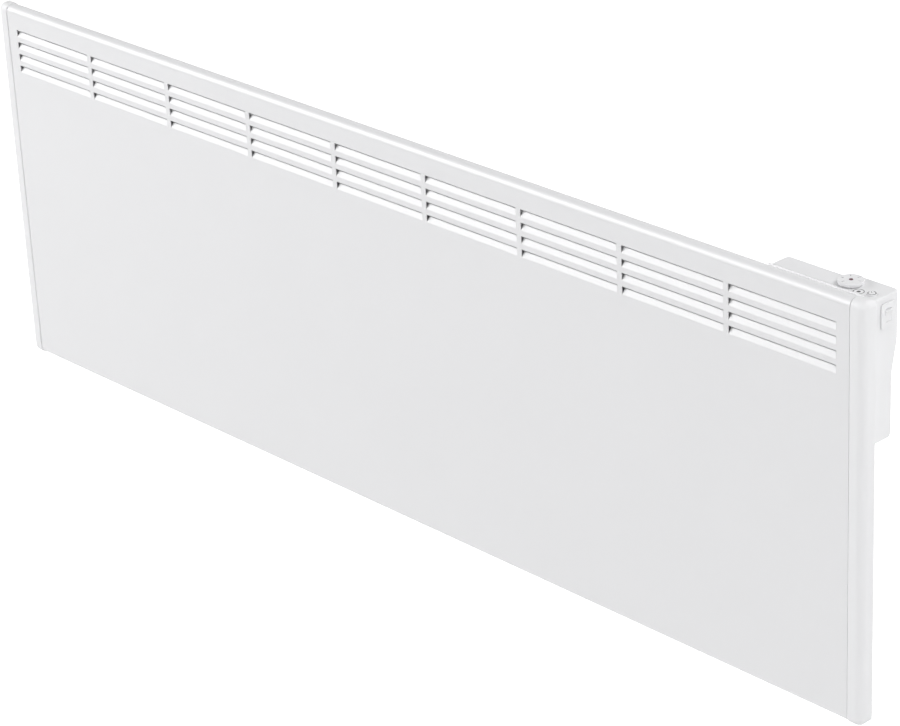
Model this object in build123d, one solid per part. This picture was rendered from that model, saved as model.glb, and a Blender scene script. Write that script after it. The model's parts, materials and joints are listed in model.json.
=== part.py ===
from build123d import *
import math
import os

# Wall panel convector heater. Millimetres, +X right seen from the front, +Y into the wall, +Z up.
# The origin is the centre of the wall bracket's four screw holes, on the wall plane (y = 0).

# ---- whole heater -------------------------------------------------------------------------
panel_length = 1150.0      # sheet front panel between the two end-cap seams
panel_height = 400.0
tray_depth = 16.0          # depth of the folded front panel
pan_depth = 26.0           # rear casing's pan, behind the front panel
wall_gap = 38.0            # wall to the back of the pan
sheet = 0.9                # front panel steel
casing_sheet = 0.8         # rear casing steel
nose_radius = 7.3          # rounded top and bottom edges of the front panel
return_flange = 20.0       # the panel's folded edge behind its top and its bottom
running_gap = 0.3          # between pieces of different bodies
cut_over = 1.0             # how far a cutting tool passes a face

# ---- louvres ------------------------------------------------------------------------------
louvre_columns = 9
louvre_rows = 4
slot_length = 119.5
column_gap = 5.8
row_pitch = 13.06
slot_height = 7.7
first_slot_drop = 23.9     # panel top to the upper edge of the first row
blade_lean = 3.3           # how far a blade's free edge is pressed in
blade_rise = 5.2           # height of a blade's free edge over its bend
blade_side_gap = 0.35

# ---- end caps -----------------------------------------------------------------------------
cap_width = 16.0
cap_proud = 0.8
cap_edge_radius = 7.8
cap_wall = 2.2
collar_depth = 12.0        # plug that goes inside the panel
collar_wall = 1.6
collar_gap = 0.2
cap_post_radius = 3.5
cap_post_inset = 7.0       # post centre from the seam
cap_posts_left = (-150.0, 0.0, 150.0)
cap_posts_right = (-150.0, -50.0, 50.0)
cap_screw_grip = 8.0

# ---- rear casing --------------------------------------------------------------------------
plate_side_margin = 2.0    # seam to the casing's back plate
plate_edge_margin = 10.0   # panel top or bottom to the back plate
pan_left_margin = 22.0
pan_right_margin = 40.0
pan_edge_margin = 20.0
pan_corner_radius = 10.0
pan_edge_radius = 4.0
notch_clearance = 5.0      # pan to control box
intake_count = 8
intake_length = 116.0
intake_width = 16.0
intake_pitch = 128.0
casing_screw_pitch = 165.0
casing_screw_margin = 44.0

# ---- fasteners ----------------------------------------------------------------------------
screw_radius = 1.5
screw_head_radius = 3.0
screw_head_height = 1.7
screw_head_round = 0.75
screw_fit = 0.05           # shank in its own threaded hole
screw_clearance = 0.3      # shank through a sheet
screw_tail = 2.0           # shank past the last sheet
cross_length = 3.2         # driver recess
cross_width = 0.7
cross_depth = 0.9
board_screw_radius = 1.2
board_screw_head_radius = 2.2
board_screw_head = 1.3

# ---- heating element ----------------------------------------------------------------------
element_margin = 94.0      # pan's side to the element's end
element_lift = 130.0       # panel's bottom to the element's axis
element_setback = 23.0     # front face to the element's axis
arm_reach = 28.3           # axis to the end of each arm of the cross
arm_angle = 66.8           # arm from the level
arm_thickness = 2.2
core_radius = 6.0
fin_thickness = 1.2
fin_length = 7.9
fin_inset = 2.75           # fin centre on its arm's inner side
fin_first = 12.7           # first fin along the arm
fin_pitch = 7.6
fins_per_arm = 3
rod_radius = 3.2
rod_overhang = 24.0
rod_fit = 0.05
bush_radius = 8.0
bush_spigot_radius = 5.5
bush_flange = 5.0
bush_spigot = 5.0
bush_fit = 0.1
element_end_gap = 2.0      # element end to its bush
bracket_sheet = 1.2
bracket_width = 30.0
bracket_foot = 16.0
foot_screw_spacing = 18.0

# ---- overheat cut-out ---------------------------------------------------------------------
cutout_margin = 65.0       # pan's right side to the cut-out's middle
cutout_drop = 49.8         # control box's bottom to the cut-out's middle
cutout_radius = 8.0
cutout_plate_length = 32.0
cutout_plate_height = 12.0
cutout_plate = 1.0
cutout_tab_root = 2.0
cutout_tab_reach = 14.0
cutout_tab_height = 6.3
cutout_tab = 0.8
cutout_screw_margin = 1.0  # screw head to the plate's end

# ---- leads --------------------------------------------------------------------------------
lead_radius = 1.4
lead_setback = 29.5        # front face to the leads along the casing's back
lead_bend = 8.0
lead_upper_lift = 38.2     # control box's bottom to the upper lead
lead_lower_lift = 30.2
lead_fit = 0.05
lead_turn_left = 30.0      # pan's left side to the lead's way down
lead_turn_right = 24.0     # pan's right side to the lead's way down
lead_turn_feed = 26.0      # notch to the cut-out's lead
lead_step_high = 55.0      # over the element, where a lead leaves the casing's back
lead_step_low = 26.0       # over the element, where it has reached the element's axis plane
clip_count = 4
clip_margin = 90.0         # the lead's turns to the first and the last clip
clip_length = 8.0
clip_height = 7.0
clip_cover = 2.2
grommet_radius = 6.4
grommet_fit = 0.1
grommet_flange_radius = 8.2
grommet_flange = 1.5

# ---- control box --------------------------------------------------------------------------
box_width = 115.0
box_height = 131.0
box_overhang = 11.0        # past the right end-cap seam
box_drop = 4.2             # panel top to box top
box_depth = 26.3           # behind the casing's back plate, on the left
head_bulge = 7.2           # extra depth of the control head
head_width = 51.0
head_shoulder = 8.0        # length of the slanted step into the head
waist_step = 2.2           # the lower box is this much shallower
head_height = 32.0         # full-depth part of the head
waist_slope_height = 41.0
waist_radius = 60.0
box_wall = 2.2
box_corner_radius = 4.0
box_top_radius = 1.2
lid_thickness = 2.0
lid_gap = 0.2
rib_thickness = 2.0
post_radius = 3.6
post_length = 13.0
post_left = 7.5            # post centres from the box's left side
post_right = 16.0          # and from the right end-cap seam
post_clear = 4.5           # upper left post under the panel's folded edge
post_drop = 41.0           # upper right post, under the switch
post_lift = 20.0           # lower right post, over the cord inlet
post_bore = 12.0

# ---- thermostat, indicator and button -----------------------------------------------------
dial_radius = 11.3
dial_height = 3.9
dial_lift = 0.4            # box top to the underside of the dial
dial_from_right = 36.9     # box right side to the dial's axis
dial_setback = 32.35       # front face to the dial's axis
dial_edge_radius = 0.7
dial_skin = 0.9            # over the spindle's blind hole
dial_fit = 0.02
dot_radius = 1.75
dot_depth = 0.5
dot_proud = 0.05
spindle_radius = 2.0
spindle_fit = 0.04
spindle_end_gap = 0.3
bushing_radius = 3.5
bushing_clearance = 0.2
bushing_drop = 0.2         # box top to the bushing's end
potentiometer_size = 12.0
potentiometer_height = 8.0
potentiometer_floor = 1.5
indicator_radius = 1.7
indicator_from_right = 22.1
indicator_setback = 24.6
indicator_ring_radius = 5.0
indicator_ring_width = 0.6
indicator_ring_depth = 0.35
lens_proud = 0.1
lens_flange = 0.6
lens_flange_extra = 0.8
lens_fit = 0.05
led_radius = 1.5
led_round = 0.9
led_gap = 0.2
button_radius = 4.5
button_from_right = 10.5
button_setback = 27.6
button_gap = 0.2
button_proud = 1.0
button_travel = 0.6
button_edge_radius = 0.5
button_flange = 0.8
button_flange_extra = 0.8
key_switch_size = 6.0
key_switch_base = 1.2
key_plunger_radius = 1.7
key_gap = 0.1

# ---- boards -------------------------------------------------------------------------------
board_thickness = 1.4
board_hole_gap = 0.2
board_inset = 4.5          # screw centre from a board's edge
standoff_radius = 2.6
control_board_drop = 5.7   # box top to the upper side of the control board
control_board_length = 45.0
control_board_width = 26.0
control_board_setback = 19.5
control_board_margin = 1.2
control_post_left = 9.0    # screw left of the dial's axis
control_post_middle = 13.0
control_post_right = 1.0   # screw right of the button's axis
power_board_length = 56.0
power_board_height = 78.0
power_board_standoff = 2.8
power_board_left = 10.8    # box's left wall to the board
power_board_drop = 10.0    # box's top wall to the board
relay_size = (19.0, 14.5, 15.0)
relay_place = (6.0, 40.0)  # on the power board, from its lower left corner
bobbin_size = (16.0, 12.0, 20.0)
bobbin_place = (32.0, 38.0)
core_size = (22.0, 12.0, 12.0)
core_place = (29.0, 42.0)
core_lift = 3.0
can_radius = 5.0
can_height = 13.0
can_place = (15.0, 18.0)
component_round = 0.8

# ---- rocker switch ------------------------------------------------------------------------
switch_setback = 33.7
switch_drop = 17.0         # box top to the switch's centre
bezel_height = 22.0
bezel_width = 16.0
bezel_proud = 2.0
bezel_corner = 1.5
bezel_round = 0.6
switch_body_height = 19.0
switch_body_width = 13.0
switch_body_depth = 14.0
switch_wall = 1.0
switch_floor = 1.5
switch_hole_gap = 0.1
rocker_gap = 0.15
rocker_pivot_depth = 2.8   # bezel face to the pivot
rocker_valley = 2.0        # pivot to the crease of the rocker's face
rocker_skirt = 5.1         # pivot to the rocker's inner side
rocker_half_angle = 10.0   # each way from the middle
rocker_round = 0.35
trunnion_radius = 1.0
trunnion_fit = 0.05
trunnion_end_gap = 0.15
tab_reach = 7.0
tab_width = 4.8
tab_thickness = 0.8
tab_pitch = 6.0

# ---- terminal block, sensor and cord inlet ------------------------------------------------
block_length = 32.0
block_height = 12.0
block_depth = 12.0
block_from_left = 13.0
block_round = 1.0
block_shares = (0.2, 0.5, 0.8)
clamp_hole_radius = 2.2
clamp_hole_depth = 4.0
clamp_screw_radius = 2.1
clamp_screw_sink = 1.2
clamp_slot_length = 3.6
clamp_slot_width = 0.7
clamp_slot_depth = 0.7
inlet_bore_radius = 4.0
inlet_radius = 6.0
inlet_fit = 0.05
inlet_flange_radius = 8.5
inlet_flange = 2.5
inlet_round = 1.0
inlet_inside = 9.0
inlet_from_right = 30.0
inlet_setback = 32.0
sensor_radius = 2.4
sensor_length = 11.0
sensor_lift = 1.0
sensor_round = 0.8
sensor_gap = 0.1
sensor_beside_vents = 11.6
cradle_height = 8.0
vent_from_right = 54.0
vent_count = 4
vent_length = 12.0
vent_width = 2.0
vent_pitch = 4.0

# ---- wall bracket -------------------------------------------------------------------------
hole_spacing_x = 600.0
hole_spacing_z = 200.0
wall_hole_radius = 2.75
bracket_steel = 1.5
upright_width = 30.0
upright_height = 280.0
upright_depth = 14.0
ear_top = 4.0              # over the hook's level, at the casing
ear_shoulder = 20.0        # over the hook's level, at the upright
ear_drop = 34.0
ear_slope = 24.0
hook_levels = (118.0, -80.0)
neck_height = 8.0
finger_height = 10.0
finger_depth = 3.0
finger_lead_in = 1.5
crotch = 3.3
hook_slot_height = 22.0
hook_slot_side_gap = 0.75
seat_gap = 0.2             # casing's slot edge over the hook's neck
rail_height = 24.0
rail_z = 80.0
rail_tab = 12.0
rivet_radius = 2.0
rivet_fit = 0.05
rivet_head_radius = 3.5
rivet_head = 1.2

# ---- places worked out from the sizes above -----------------------------------------------
casing_rear_y = -wall_gap
tray_rear_y = casing_rear_y - pan_depth
front_y = tray_rear_y - tray_depth
plate_rear_y = tray_rear_y + casing_sheet
pan_inner_y = casing_rear_y - casing_sheet
panel_top = panel_height / 2
seam_x = panel_length / 2
plate_top = panel_top - plate_edge_margin
flange_screw_z = panel_top - return_flange + (return_flange - nose_radius) / 2
pan_left = -seam_x + pan_left_margin
pan_right = seam_x - pan_right_margin
pan_top = panel_top - pan_edge_margin
box_right = seam_x + box_overhang
box_left = box_right - box_width
box_middle = (box_left + box_right) / 2
box_top = panel_top - box_drop
box_bottom = box_top - box_height
box_floor = box_bottom + box_wall
box_ceiling = box_top - box_wall
box_front_y = plate_rear_y
box_mid_y = box_front_y + box_depth
head_y = box_mid_y + head_bulge
waist_y = box_mid_y - waist_step
lid_rear_y = box_front_y + lid_thickness
notch_x = box_left - notch_clearance
notch_z = box_bottom - notch_clearance
lead_y = front_y + lead_setback
lead_upper_z = box_bottom + lead_upper_lift
lead_lower_z = box_bottom + lead_lower_lift
lead_turn_x = pan_left + lead_turn_left
cutout_x = pan_right - cutout_margin
cutout_z = box_bottom - cutout_drop
element_y = front_y + element_setback
element_left = pan_left + element_margin
element_right = pan_right - element_margin
element_z = -panel_top + element_lift
grommet_z = (lead_upper_z + lead_lower_z) / 2
dial_x = box_right - dial_from_right
dial_y = front_y + dial_setback
dial_bottom = box_top + dial_lift
dial_top = dial_bottom + dial_height
indicator_x = box_right - indicator_from_right
indicator_y = front_y + indicator_setback
button_x = box_right - button_from_right
button_y = front_y + button_setback
button_bottom = box_ceiling - button_gap - button_flange
control_board_top = box_top - control_board_drop
control_board_bottom = control_board_top - board_thickness
control_board_right = box_right - box_wall - control_board_margin
control_board_front = front_y + control_board_setback
potentiometer_bottom = control_board_bottom - potentiometer_height
power_board_x = box_left + box_wall + power_board_left
power_board_z = box_ceiling - power_board_drop - power_board_height
power_board_front = lid_rear_y + power_board_standoff
power_board_rear = power_board_front + board_thickness
switch_y = front_y + switch_setback
switch_z = box_top - switch_drop
switch_back_x = box_right - switch_body_depth
bezel_face_x = box_right + bezel_proud
pivot_x = bezel_face_x - rocker_pivot_depth
cavity_half_height = switch_body_height / 2 - switch_wall
cavity_half_width = switch_body_width / 2 - switch_wall
block_left = box_left + box_wall + block_from_left
block_top = box_floor + block_height
block_middle = box_floor + block_height / 2
block_rear_y = lead_y + block_depth / 2
inlet_x = box_right - inlet_from_right
inlet_y = front_y + inlet_setback
vent_x = box_right - vent_from_right
sensor_x = vent_x + sensor_beside_vents
upright_x = hole_spacing_x / 2
rail_end_x = upright_x - upright_width / 2
rivet_y = -bracket_steel - rail_tab / 2
ear_y = casing_rear_y + running_gap
hook_tip_y = ear_y - crotch - finger_depth


# ---- shapes used by many pieces -----------------------------------------------------------
def span(a, b):
    """Two numbers, the smaller first."""
    return min(a, b), max(a, b)


def block(x_ends, y_ends, z_ends):
    """Box between two planes on each axis."""
    size = [max(ends) - min(ends) for ends in (x_ends, y_ends, z_ends)]
    middle = [sum(ends) / 2 for ends in (x_ends, y_ends, z_ends)]
    return Pos(*middle) * Box(*size)


def around(middle, width):
    """The two ends of a width about its middle."""
    return middle - width / 2, middle + width / 2


def prism_x(outline, x_ends):
    """Outline drawn in (y, z), swept along X."""
    low, high = span(*x_ends)
    return extrude(Plane(origin=(low, 0, 0), x_dir=(0, 1, 0), z_dir=(1, 0, 0)) * outline, high - low)


def prism_y(outline, y_ends):
    """Outline drawn in (x, z), swept along Y."""
    low, high = span(*y_ends)
    return extrude(Plane(origin=(0, high, 0), x_dir=(1, 0, 0), z_dir=(0, -1, 0)) * outline, high - low)


def prism_z(outline, z_ends):
    """Outline drawn in (x, y), swept along Z."""
    low, high = span(*z_ends)
    return extrude(Plane(origin=(0, 0, low)) * outline, high - low)


def polygon(*points):
    return make_face(Polyline(*points, close=True))


def rod_x(x_ends, y, z, radius):
    return prism_x(Pos(y, z) * Circle(radius), x_ends)


def rod_y(x, y_ends, z, radius):
    return prism_y(Pos(x, z) * Circle(radius), y_ends)


def rod_z(x, y, z_ends, radius):
    return prism_z(Pos(x, y) * Circle(radius), z_ends)


def cross_recess():
    """Cross-shaped driver recess below a screw head's top."""
    middle = Pos(0, 0, screw_head_height - cross_depth / 2)
    return middle * (Box(cross_length, cross_width, cross_depth) + Box(cross_width, cross_length, cross_depth))


def screw(length):
    """Pan-head screw along +Z, its seat at z = 0 and its shank below."""
    head = Cylinder(screw_head_radius, screw_head_height, align=(Align.CENTER, Align.CENTER, Align.MIN))
    head = fillet(head.edges().group_by(Axis.Z)[-1], screw_head_round)
    return head - cross_recess() + Pos(0, 0, -length / 2) * Cylinder(screw_radius, length)


def board_screw(length):
    """Small screw along +Z, its seat at z = 0."""
    head = Cylinder(board_screw_head_radius, board_screw_head, align=(Align.CENTER, Align.CENTER, Align.MIN))
    return head + Pos(0, 0, -length / 2) * Cylinder(board_screw_radius, length)


def driven_forward(x, y, z, piece):
    """A screw whose head faces the wall, seated on the plane y."""
    return Pos(x, y, z) * Rot(-90, 0, 0) * piece


def driven_back(x, y, z, piece):
    """A screw whose head faces the room, seated on the plane y."""
    return Pos(x, y, z) * Rot(90, 0, 0) * piece


def holes_y(places, y_ends, radius):
    return [rod_y(x, y_ends, z, radius) for x, z in places]


def save(shape, node):
    """Write one sub-part as a group of its solids."""
    parts = shape if isinstance(shape, list) else [shape]
    solids = [solid for part in parts for solid in part.solids()]
    export_step(solids[0] if len(solids) == 1 else Compound(children=solids), f"parts/{node}.step")


# ---- front panel --------------------------------------------------------------------------
def panel_outline(grow):
    """Section of the front panel in (y, z), moved out by grow."""
    shape = RectangleRounded(tray_depth + 2 * grow, panel_height + 2 * grow, nose_radius + grow)
    return Pos(front_y + tray_depth / 2, 0) * shape


def slot_lefts():
    pitch = slot_length + column_gap
    first = -(louvre_columns * slot_length + (louvre_columns - 1) * column_gap) / 2
    return [first + pitch * column for column in range(louvre_columns)]


def slot_tops():
    return [panel_top - first_slot_drop - row_pitch * row for row in range(louvre_rows)]


def blade_section(bend_z):
    """A louvre blade in (y, z): it leans back from its bend at the slot's lower edge."""
    lean = math.atan2(blade_lean, blade_rise)
    root = bend_z - sheet * math.tan(lean / 2)
    tip = front_y + blade_lean, bend_z + blade_rise
    back = tip[0] + sheet * math.cos(lean), tip[1] - sheet * math.sin(lean)
    return polygon((front_y, bend_z), tip, back, (front_y + sheet, root), (front_y, root))


def front_panel():
    shell = prism_x(panel_outline(0) - panel_outline(-sheet), (-seam_x, seam_x))
    rear_skin = tray_rear_y - sheet - cut_over, tray_rear_y + cut_over
    front_skin = front_y - cut_over, front_y + sheet + cut_over
    shell -= block((-seam_x, seam_x), rear_skin, around(0, panel_height - 2 * return_flange))
    slots, blades = [], []
    for top in slot_tops():
        bend = top - slot_height
        for left in slot_lefts():
            right = left + slot_length
            slots.append(block((left, right), front_skin, (bend, top)))
            blades.append(prism_x(blade_section(bend), (left + blade_side_gap, right - blade_side_gap)))
    return (shell - slots + blades) - holes_y(casing_screw_places(), rear_skin, screw_radius + screw_fit)


# ---- end caps -----------------------------------------------------------------------------
def cap_form(grow, width, edge):
    """Right-hand end cap's outer form from the seam outwards."""
    form = prism_x(panel_outline(grow), (seam_x, seam_x + width))
    return fillet(form.faces().sort_by(Axis.X)[-1].edges(), edge)


def end_cap_right(posts):
    cap = cap_form(cap_proud, cap_width, cap_edge_radius)
    cap -= cap_form(cap_proud - cap_wall, cap_width - cap_wall, cap_edge_radius - cap_wall)
    plug = panel_outline(-sheet - collar_gap)
    bore = panel_outline(-sheet - collar_gap - collar_wall)
    cap += prism_x(plug - bore, (seam_x - collar_depth, seam_x + cap_wall))
    cap += prism_x(panel_outline(cap_proud - cap_wall / 2) - bore, (seam_x, seam_x + cap_wall))
    post_x = seam_x - cap_post_inset
    for z in posts:
        cap += rod_y(post_x, (front_y + sheet + collar_gap, tray_rear_y), z, cap_post_radius)
        cap -= rod_y(post_x, (tray_rear_y - cap_screw_grip - cut_over, tray_rear_y), z, screw_radius + screw_fit)
    return cap


def end_cap_left():
    return mirror(end_cap_right(cap_posts_left), about=Plane.YZ)


def cap_screw_places():
    x = seam_x - cap_post_inset
    return [(-x, z) for z in cap_posts_left] + [(x, z) for z in cap_posts_right]


def end_cap_screws():
    piece = screw(casing_sheet + cap_screw_grip)
    return [driven_forward(x, plate_rear_y, z, piece) for x, z in cap_screw_places()]


# ---- rear casing --------------------------------------------------------------------------
def casing_screw_places():
    """Along the panel's folded edges, clear of the control box."""
    half = int((seam_x - casing_screw_margin) // casing_screw_pitch)
    xs = [casing_screw_pitch * n for n in range(-half, half + 1)]
    upper = [(x, flange_screw_z) for x in xs if x + screw_head_radius < notch_x]
    return upper + [(x, -flange_screw_z) for x in xs]


def casing_screws():
    piece = screw(casing_sheet + sheet + screw_tail)
    return [driven_forward(x, plate_rear_y, z, piece) for x, z in casing_screw_places()]


def pan_outline(inset):
    """Pan in (x, z), with the corner left out for the control box."""
    left, right = pan_left + inset, pan_right - inset
    top, bottom = pan_top - inset, -pan_top + inset
    inner_corner = notch_x - inset, notch_z - inset
    outline = polygon((left, bottom), (right, bottom), (right, inner_corner[1]), inner_corner,
                      (inner_corner[0], top), (left, top))

    def is_inner(vertex):
        return math.dist((vertex.X, vertex.Y), inner_corner) < inset + casing_sheet

    outline = fillet([v for v in outline.vertices() if not is_inner(v)], pan_corner_radius - inset)
    return fillet([v for v in outline.vertices() if is_inner(v)], pan_corner_radius + inset)


def pan_form(inset, y_ends, edge):
    pan = prism_y(pan_outline(inset), y_ends)
    return fillet(pan.faces().sort_by(Axis.Y)[-1].edges(), edge)


def hook_slots():
    width = bracket_steel + 2 * hook_slot_side_gap
    depth = pan_inner_y - cut_over, casing_rear_y + cut_over
    tops = [level + seat_gap for level in hook_levels]
    return [block(around(x, width), depth, (top - hook_slot_height, top)) for x in hook_xs() for top in tops]


def intakes():
    slot = SlotOverall(intake_length, intake_width)
    middle = (tray_rear_y + casing_rear_y) / 2
    through = -pan_top - cut_over, -pan_top + casing_sheet + cut_over
    first = (pan_left + pan_right - intake_pitch * (intake_count - 1)) / 2
    xs = [first + intake_pitch * n for n in range(intake_count)]
    return [prism_z(Pos(x, middle) * slot, through) for x in xs]


def rear_casing():
    plate = block(around(0, 2 * (seam_x - plate_side_margin)), (tray_rear_y, plate_rear_y), around(0, 2 * plate_top))
    casing = plate + pan_form(0, (tray_rear_y, casing_rear_y), pan_edge_radius)
    casing -= pan_form(casing_sheet, (tray_rear_y - cut_over, pan_inner_y), pan_edge_radius - casing_sheet)
    plate_skin = tray_rear_y - cut_over, plate_rear_y + cut_over
    pan_skin = pan_inner_y - cut_over, casing_rear_y + cut_over
    casing -= intakes() + hook_slots()
    outer_places = casing_screw_places() + cap_screw_places() + box_screw_places()
    casing -= holes_y(outer_places, plate_skin, screw_radius + screw_clearance)
    casing -= holes_y(foot_screw_places() + cutout_screw_places(), pan_skin, screw_radius + screw_fit)
    wall = notch_x - casing_sheet - cut_over, notch_x + cut_over
    return casing - rod_x(wall, lead_y, grommet_z, grommet_radius + grommet_fit)


# ---- heating element ----------------------------------------------------------------------
def heating_element():
    """Extruded aluminium cross with short level fins on its four arms."""
    section = Circle(core_radius)
    for angle in (arm_angle, 180 - arm_angle, 180 + arm_angle, -arm_angle):
        turn = math.radians(angle)
        inward = -math.copysign(fin_inset, math.cos(turn))
        section += Rot(0, 0, angle) * Pos(arm_reach / 2, 0) * Rectangle(arm_reach, arm_thickness)
        for n in range(fins_per_arm):
            reach = fin_first + fin_pitch * n
            place = Pos(reach * math.cos(turn) + inward, reach * math.sin(turn))
            section += place * Rectangle(fin_length, fin_thickness)
    section -= Circle(rod_radius + rod_fit)
    return prism_x(Pos(element_y, element_z) * section, (element_left, element_right))


def element_rod():
    return rod_x((element_left - rod_overhang, element_right + rod_overhang), element_y, element_z, rod_radius)


def bush(end_x, outward):
    """Ceramic collar on the rod: a flange towards the element and a spigot through the bracket."""
    near = end_x + outward * element_end_gap
    shoulder = near + outward * bush_flange
    far = shoulder + outward * bush_spigot
    collar = rod_x((near, shoulder), element_y, element_z, bush_radius)
    collar += rod_x((shoulder, far), element_y, element_z, bush_spigot_radius)
    return collar - rod_x((near, far), element_y, element_z, rod_radius + rod_fit)


def element_bushes():
    return [bush(element_left, -1), bush(element_right, 1)]


def element_bracket(end_x, outward):
    """Bent sheet: an upright plate that holds the bush, and a foot on the pan."""
    near = end_x + outward * (element_end_gap + bush_flange)
    far = near + outward * bracket_sheet
    height = around(element_z, bracket_width)
    bracket = block((near, far), (element_y - bush_radius, pan_inner_y), height)
    bracket += block((near, far + outward * bracket_foot), (pan_inner_y - bracket_sheet, pan_inner_y), height)
    bracket -= rod_x((near - outward * cut_over, far + outward * cut_over), element_y, element_z,
                     bush_spigot_radius + bush_fit)
    foot = pan_inner_y - bracket_sheet - cut_over, pan_inner_y + cut_over
    return bracket - holes_y(foot_places(end_x, outward), foot, screw_radius + screw_clearance)


def foot_places(end_x, outward):
    x = end_x + outward * (element_end_gap + bush_flange + bracket_sheet + bracket_foot / 2)
    return [(x, z) for z in around(element_z, foot_screw_spacing)]


def foot_screw_places():
    return foot_places(element_left, -1) + foot_places(element_right, 1)


def element_screws():
    piece = screw(bracket_sheet + casing_sheet + screw_tail)
    return [driven_back(x, pan_inner_y - bracket_sheet, z, piece) for x, z in foot_screw_places()]


# ---- overheat cut-out ---------------------------------------------------------------------
def cutout_screw_places():
    reach = cutout_plate_length / 2 - screw_head_radius - cutout_screw_margin
    return [(cutout_x - reach, cutout_z), (cutout_x + reach, cutout_z)]


def overheat_cutout():
    front = lead_y + cutout_tab / 2
    plate = pan_inner_y - cutout_plate, pan_inner_y
    body = rod_y(cutout_x, (front, plate[0]), cutout_z, cutout_radius)
    body += block(around(cutout_x, cutout_plate_length), plate, around(cutout_z, cutout_plate_height))
    body -= holes_y(cutout_screw_places(), (plate[0] - cut_over, plate[1] + cut_over), screw_radius + screw_clearance)
    for side in (-1, 1):
        ends = cutout_x + side * cutout_tab_root, cutout_x + side * cutout_tab_reach
        body += block(ends, around(lead_y, cutout_tab), around(cutout_z, cutout_tab_height))
    return body


def cutout_screws():
    piece = screw(cutout_plate + casing_sheet + screw_tail)
    return [driven_back(x, pan_inner_y - cutout_plate, z, piece) for x, z in cutout_screw_places()]


# ---- leads --------------------------------------------------------------------------------
def lead(*points):
    """Insulated wire: straight runs joined by arcs."""
    path = FilletPolyline(*points, radius=lead_bend)
    return sweep(Plane(origin=path @ 0, z_dir=path % 0) * Circle(lead_radius), path=path)


def way_down(x):
    """From the casing's back forward to the element's axis."""
    high, low = element_z + lead_step_high, element_z + lead_step_low
    return [(x, lead_y, high), (x, element_y, low), (x, element_y, element_z)]


def clamp_xs():
    return [block_left + block_length * share for share in block_shares]


def lead_left():
    start_x = clamp_xs()[1]
    return lead((start_x, lead_y, block_top), (start_x, lead_y, lead_upper_z), (lead_turn_x, lead_y, lead_upper_z),
                *way_down(lead_turn_x), (element_left - rod_overhang, element_y, element_z))


def lead_feed():
    start_x, turn_x = clamp_xs()[0], notch_x - lead_turn_feed
    return lead((start_x, lead_y, block_top), (start_x, lead_y, lead_lower_z), (turn_x, lead_y, lead_lower_z),
                (turn_x, lead_y, cutout_z), (cutout_x - cutout_tab_reach, lead_y, cutout_z))


def lead_right():
    turn_x = pan_right - lead_turn_right
    return lead((cutout_x + cutout_tab_reach, lead_y, cutout_z), (turn_x, lead_y, cutout_z),
                *way_down(turn_x), (element_right + rod_overhang, element_y, element_z))


def lead_clip(x):
    depth = lead_y - lead_radius - clip_cover, pan_inner_y
    clip = block(around(x, clip_length), depth, around(lead_upper_z, clip_height))
    clip = fillet(clip.edges().filter_by(Axis.X).group_by(Axis.Y)[0], clip_cover)
    return clip - rod_x(around(x, clip_length), lead_y, lead_upper_z, lead_radius + lead_fit)


def lead_clips():
    first, last = notch_x - clip_margin, lead_turn_x + clip_margin
    return [lead_clip(first + (last - first) * n / (clip_count - 1)) for n in range(clip_count)]


def lead_grommet():
    """Rubber sleeve for both leads, through the pan's wall and the control box's wall."""
    inner = notch_x - casing_sheet
    outer = box_left + box_wall
    ends = inner - grommet_flange, outer + grommet_flange
    sleeve = rod_x(ends, lead_y, grommet_z, grommet_radius)
    sleeve += rod_x((ends[0], inner), lead_y, grommet_z, grommet_flange_radius)
    sleeve += rod_x((outer, ends[1]), lead_y, grommet_z, grommet_flange_radius)
    return sleeve - [rod_x(ends, lead_y, z, lead_radius + lead_fit) for z in (lead_upper_z, lead_lower_z)]


# ---- control box --------------------------------------------------------------------------
def box_plan():
    """Control box from above in (x, y): the head on the right reaches further back."""
    shoulder = around(box_right - head_width, head_shoulder)
    plan = polygon((box_left, box_front_y), (box_right, box_front_y), (box_right, head_y),
                   (shoulder[1], head_y), (shoulder[0], box_mid_y), (box_left, box_mid_y))
    return fillet([v for v in plan.vertices() if v.Y > box_front_y + cut_over], box_corner_radius)


def box_side():
    """Control box from its right side in (y, z): shallower under the head."""
    head_low = box_top - head_height
    waist_high = head_low - waist_slope_height
    side = polygon((box_front_y, box_bottom), (waist_y, box_bottom), (waist_y, waist_high), (head_y, head_low),
                   (head_y, box_top), (box_front_y, box_top))
    side = fillet([v for v in side.vertices() if head_low + cut_over > v.Y > waist_high - cut_over], waist_radius)
    heel = [v for v in side.vertices() if v.Y < box_bottom + cut_over and v.X > waist_y - cut_over]
    return fillet(heel, box_corner_radius)


def box_screw_places():
    left, right = box_left + post_left, seam_x - post_right
    left_zs = panel_top - return_flange - post_clear, box_bottom + post_left
    right_zs = box_bottom + post_lift, box_top - post_drop
    return [(left, z) for z in left_zs] + [(right, z) for z in right_zs]


def box_post(x, z):
    """Lid screw post with a rib to the nearer side wall."""
    wall_x = box_left if x < box_middle else box_right
    depth = lid_rear_y, lid_rear_y + post_length
    rib_end = wall_x + math.copysign(box_wall / 2, x - wall_x)
    post = rod_y(x, depth, z, post_radius) + block(span(x, rib_end), depth, around(z, rib_thickness))
    return post - rod_y(x, (lid_rear_y, lid_rear_y + post_bore), z, screw_radius + screw_fit)


def control_post_places():
    front = control_board_front + board_inset
    rear = head_y - box_wall - board_inset
    rear_xs = dial_x + control_post_middle, button_x + control_post_right
    return [(dial_x - control_post_left, front)] + [(x, rear) for x in rear_xs]


def control_post(x, y):
    post = rod_z(x, y, (control_board_top, box_ceiling), standoff_radius)
    return post - rod_z(x, y, (control_board_top, box_ceiling), board_screw_radius + screw_fit)


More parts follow.
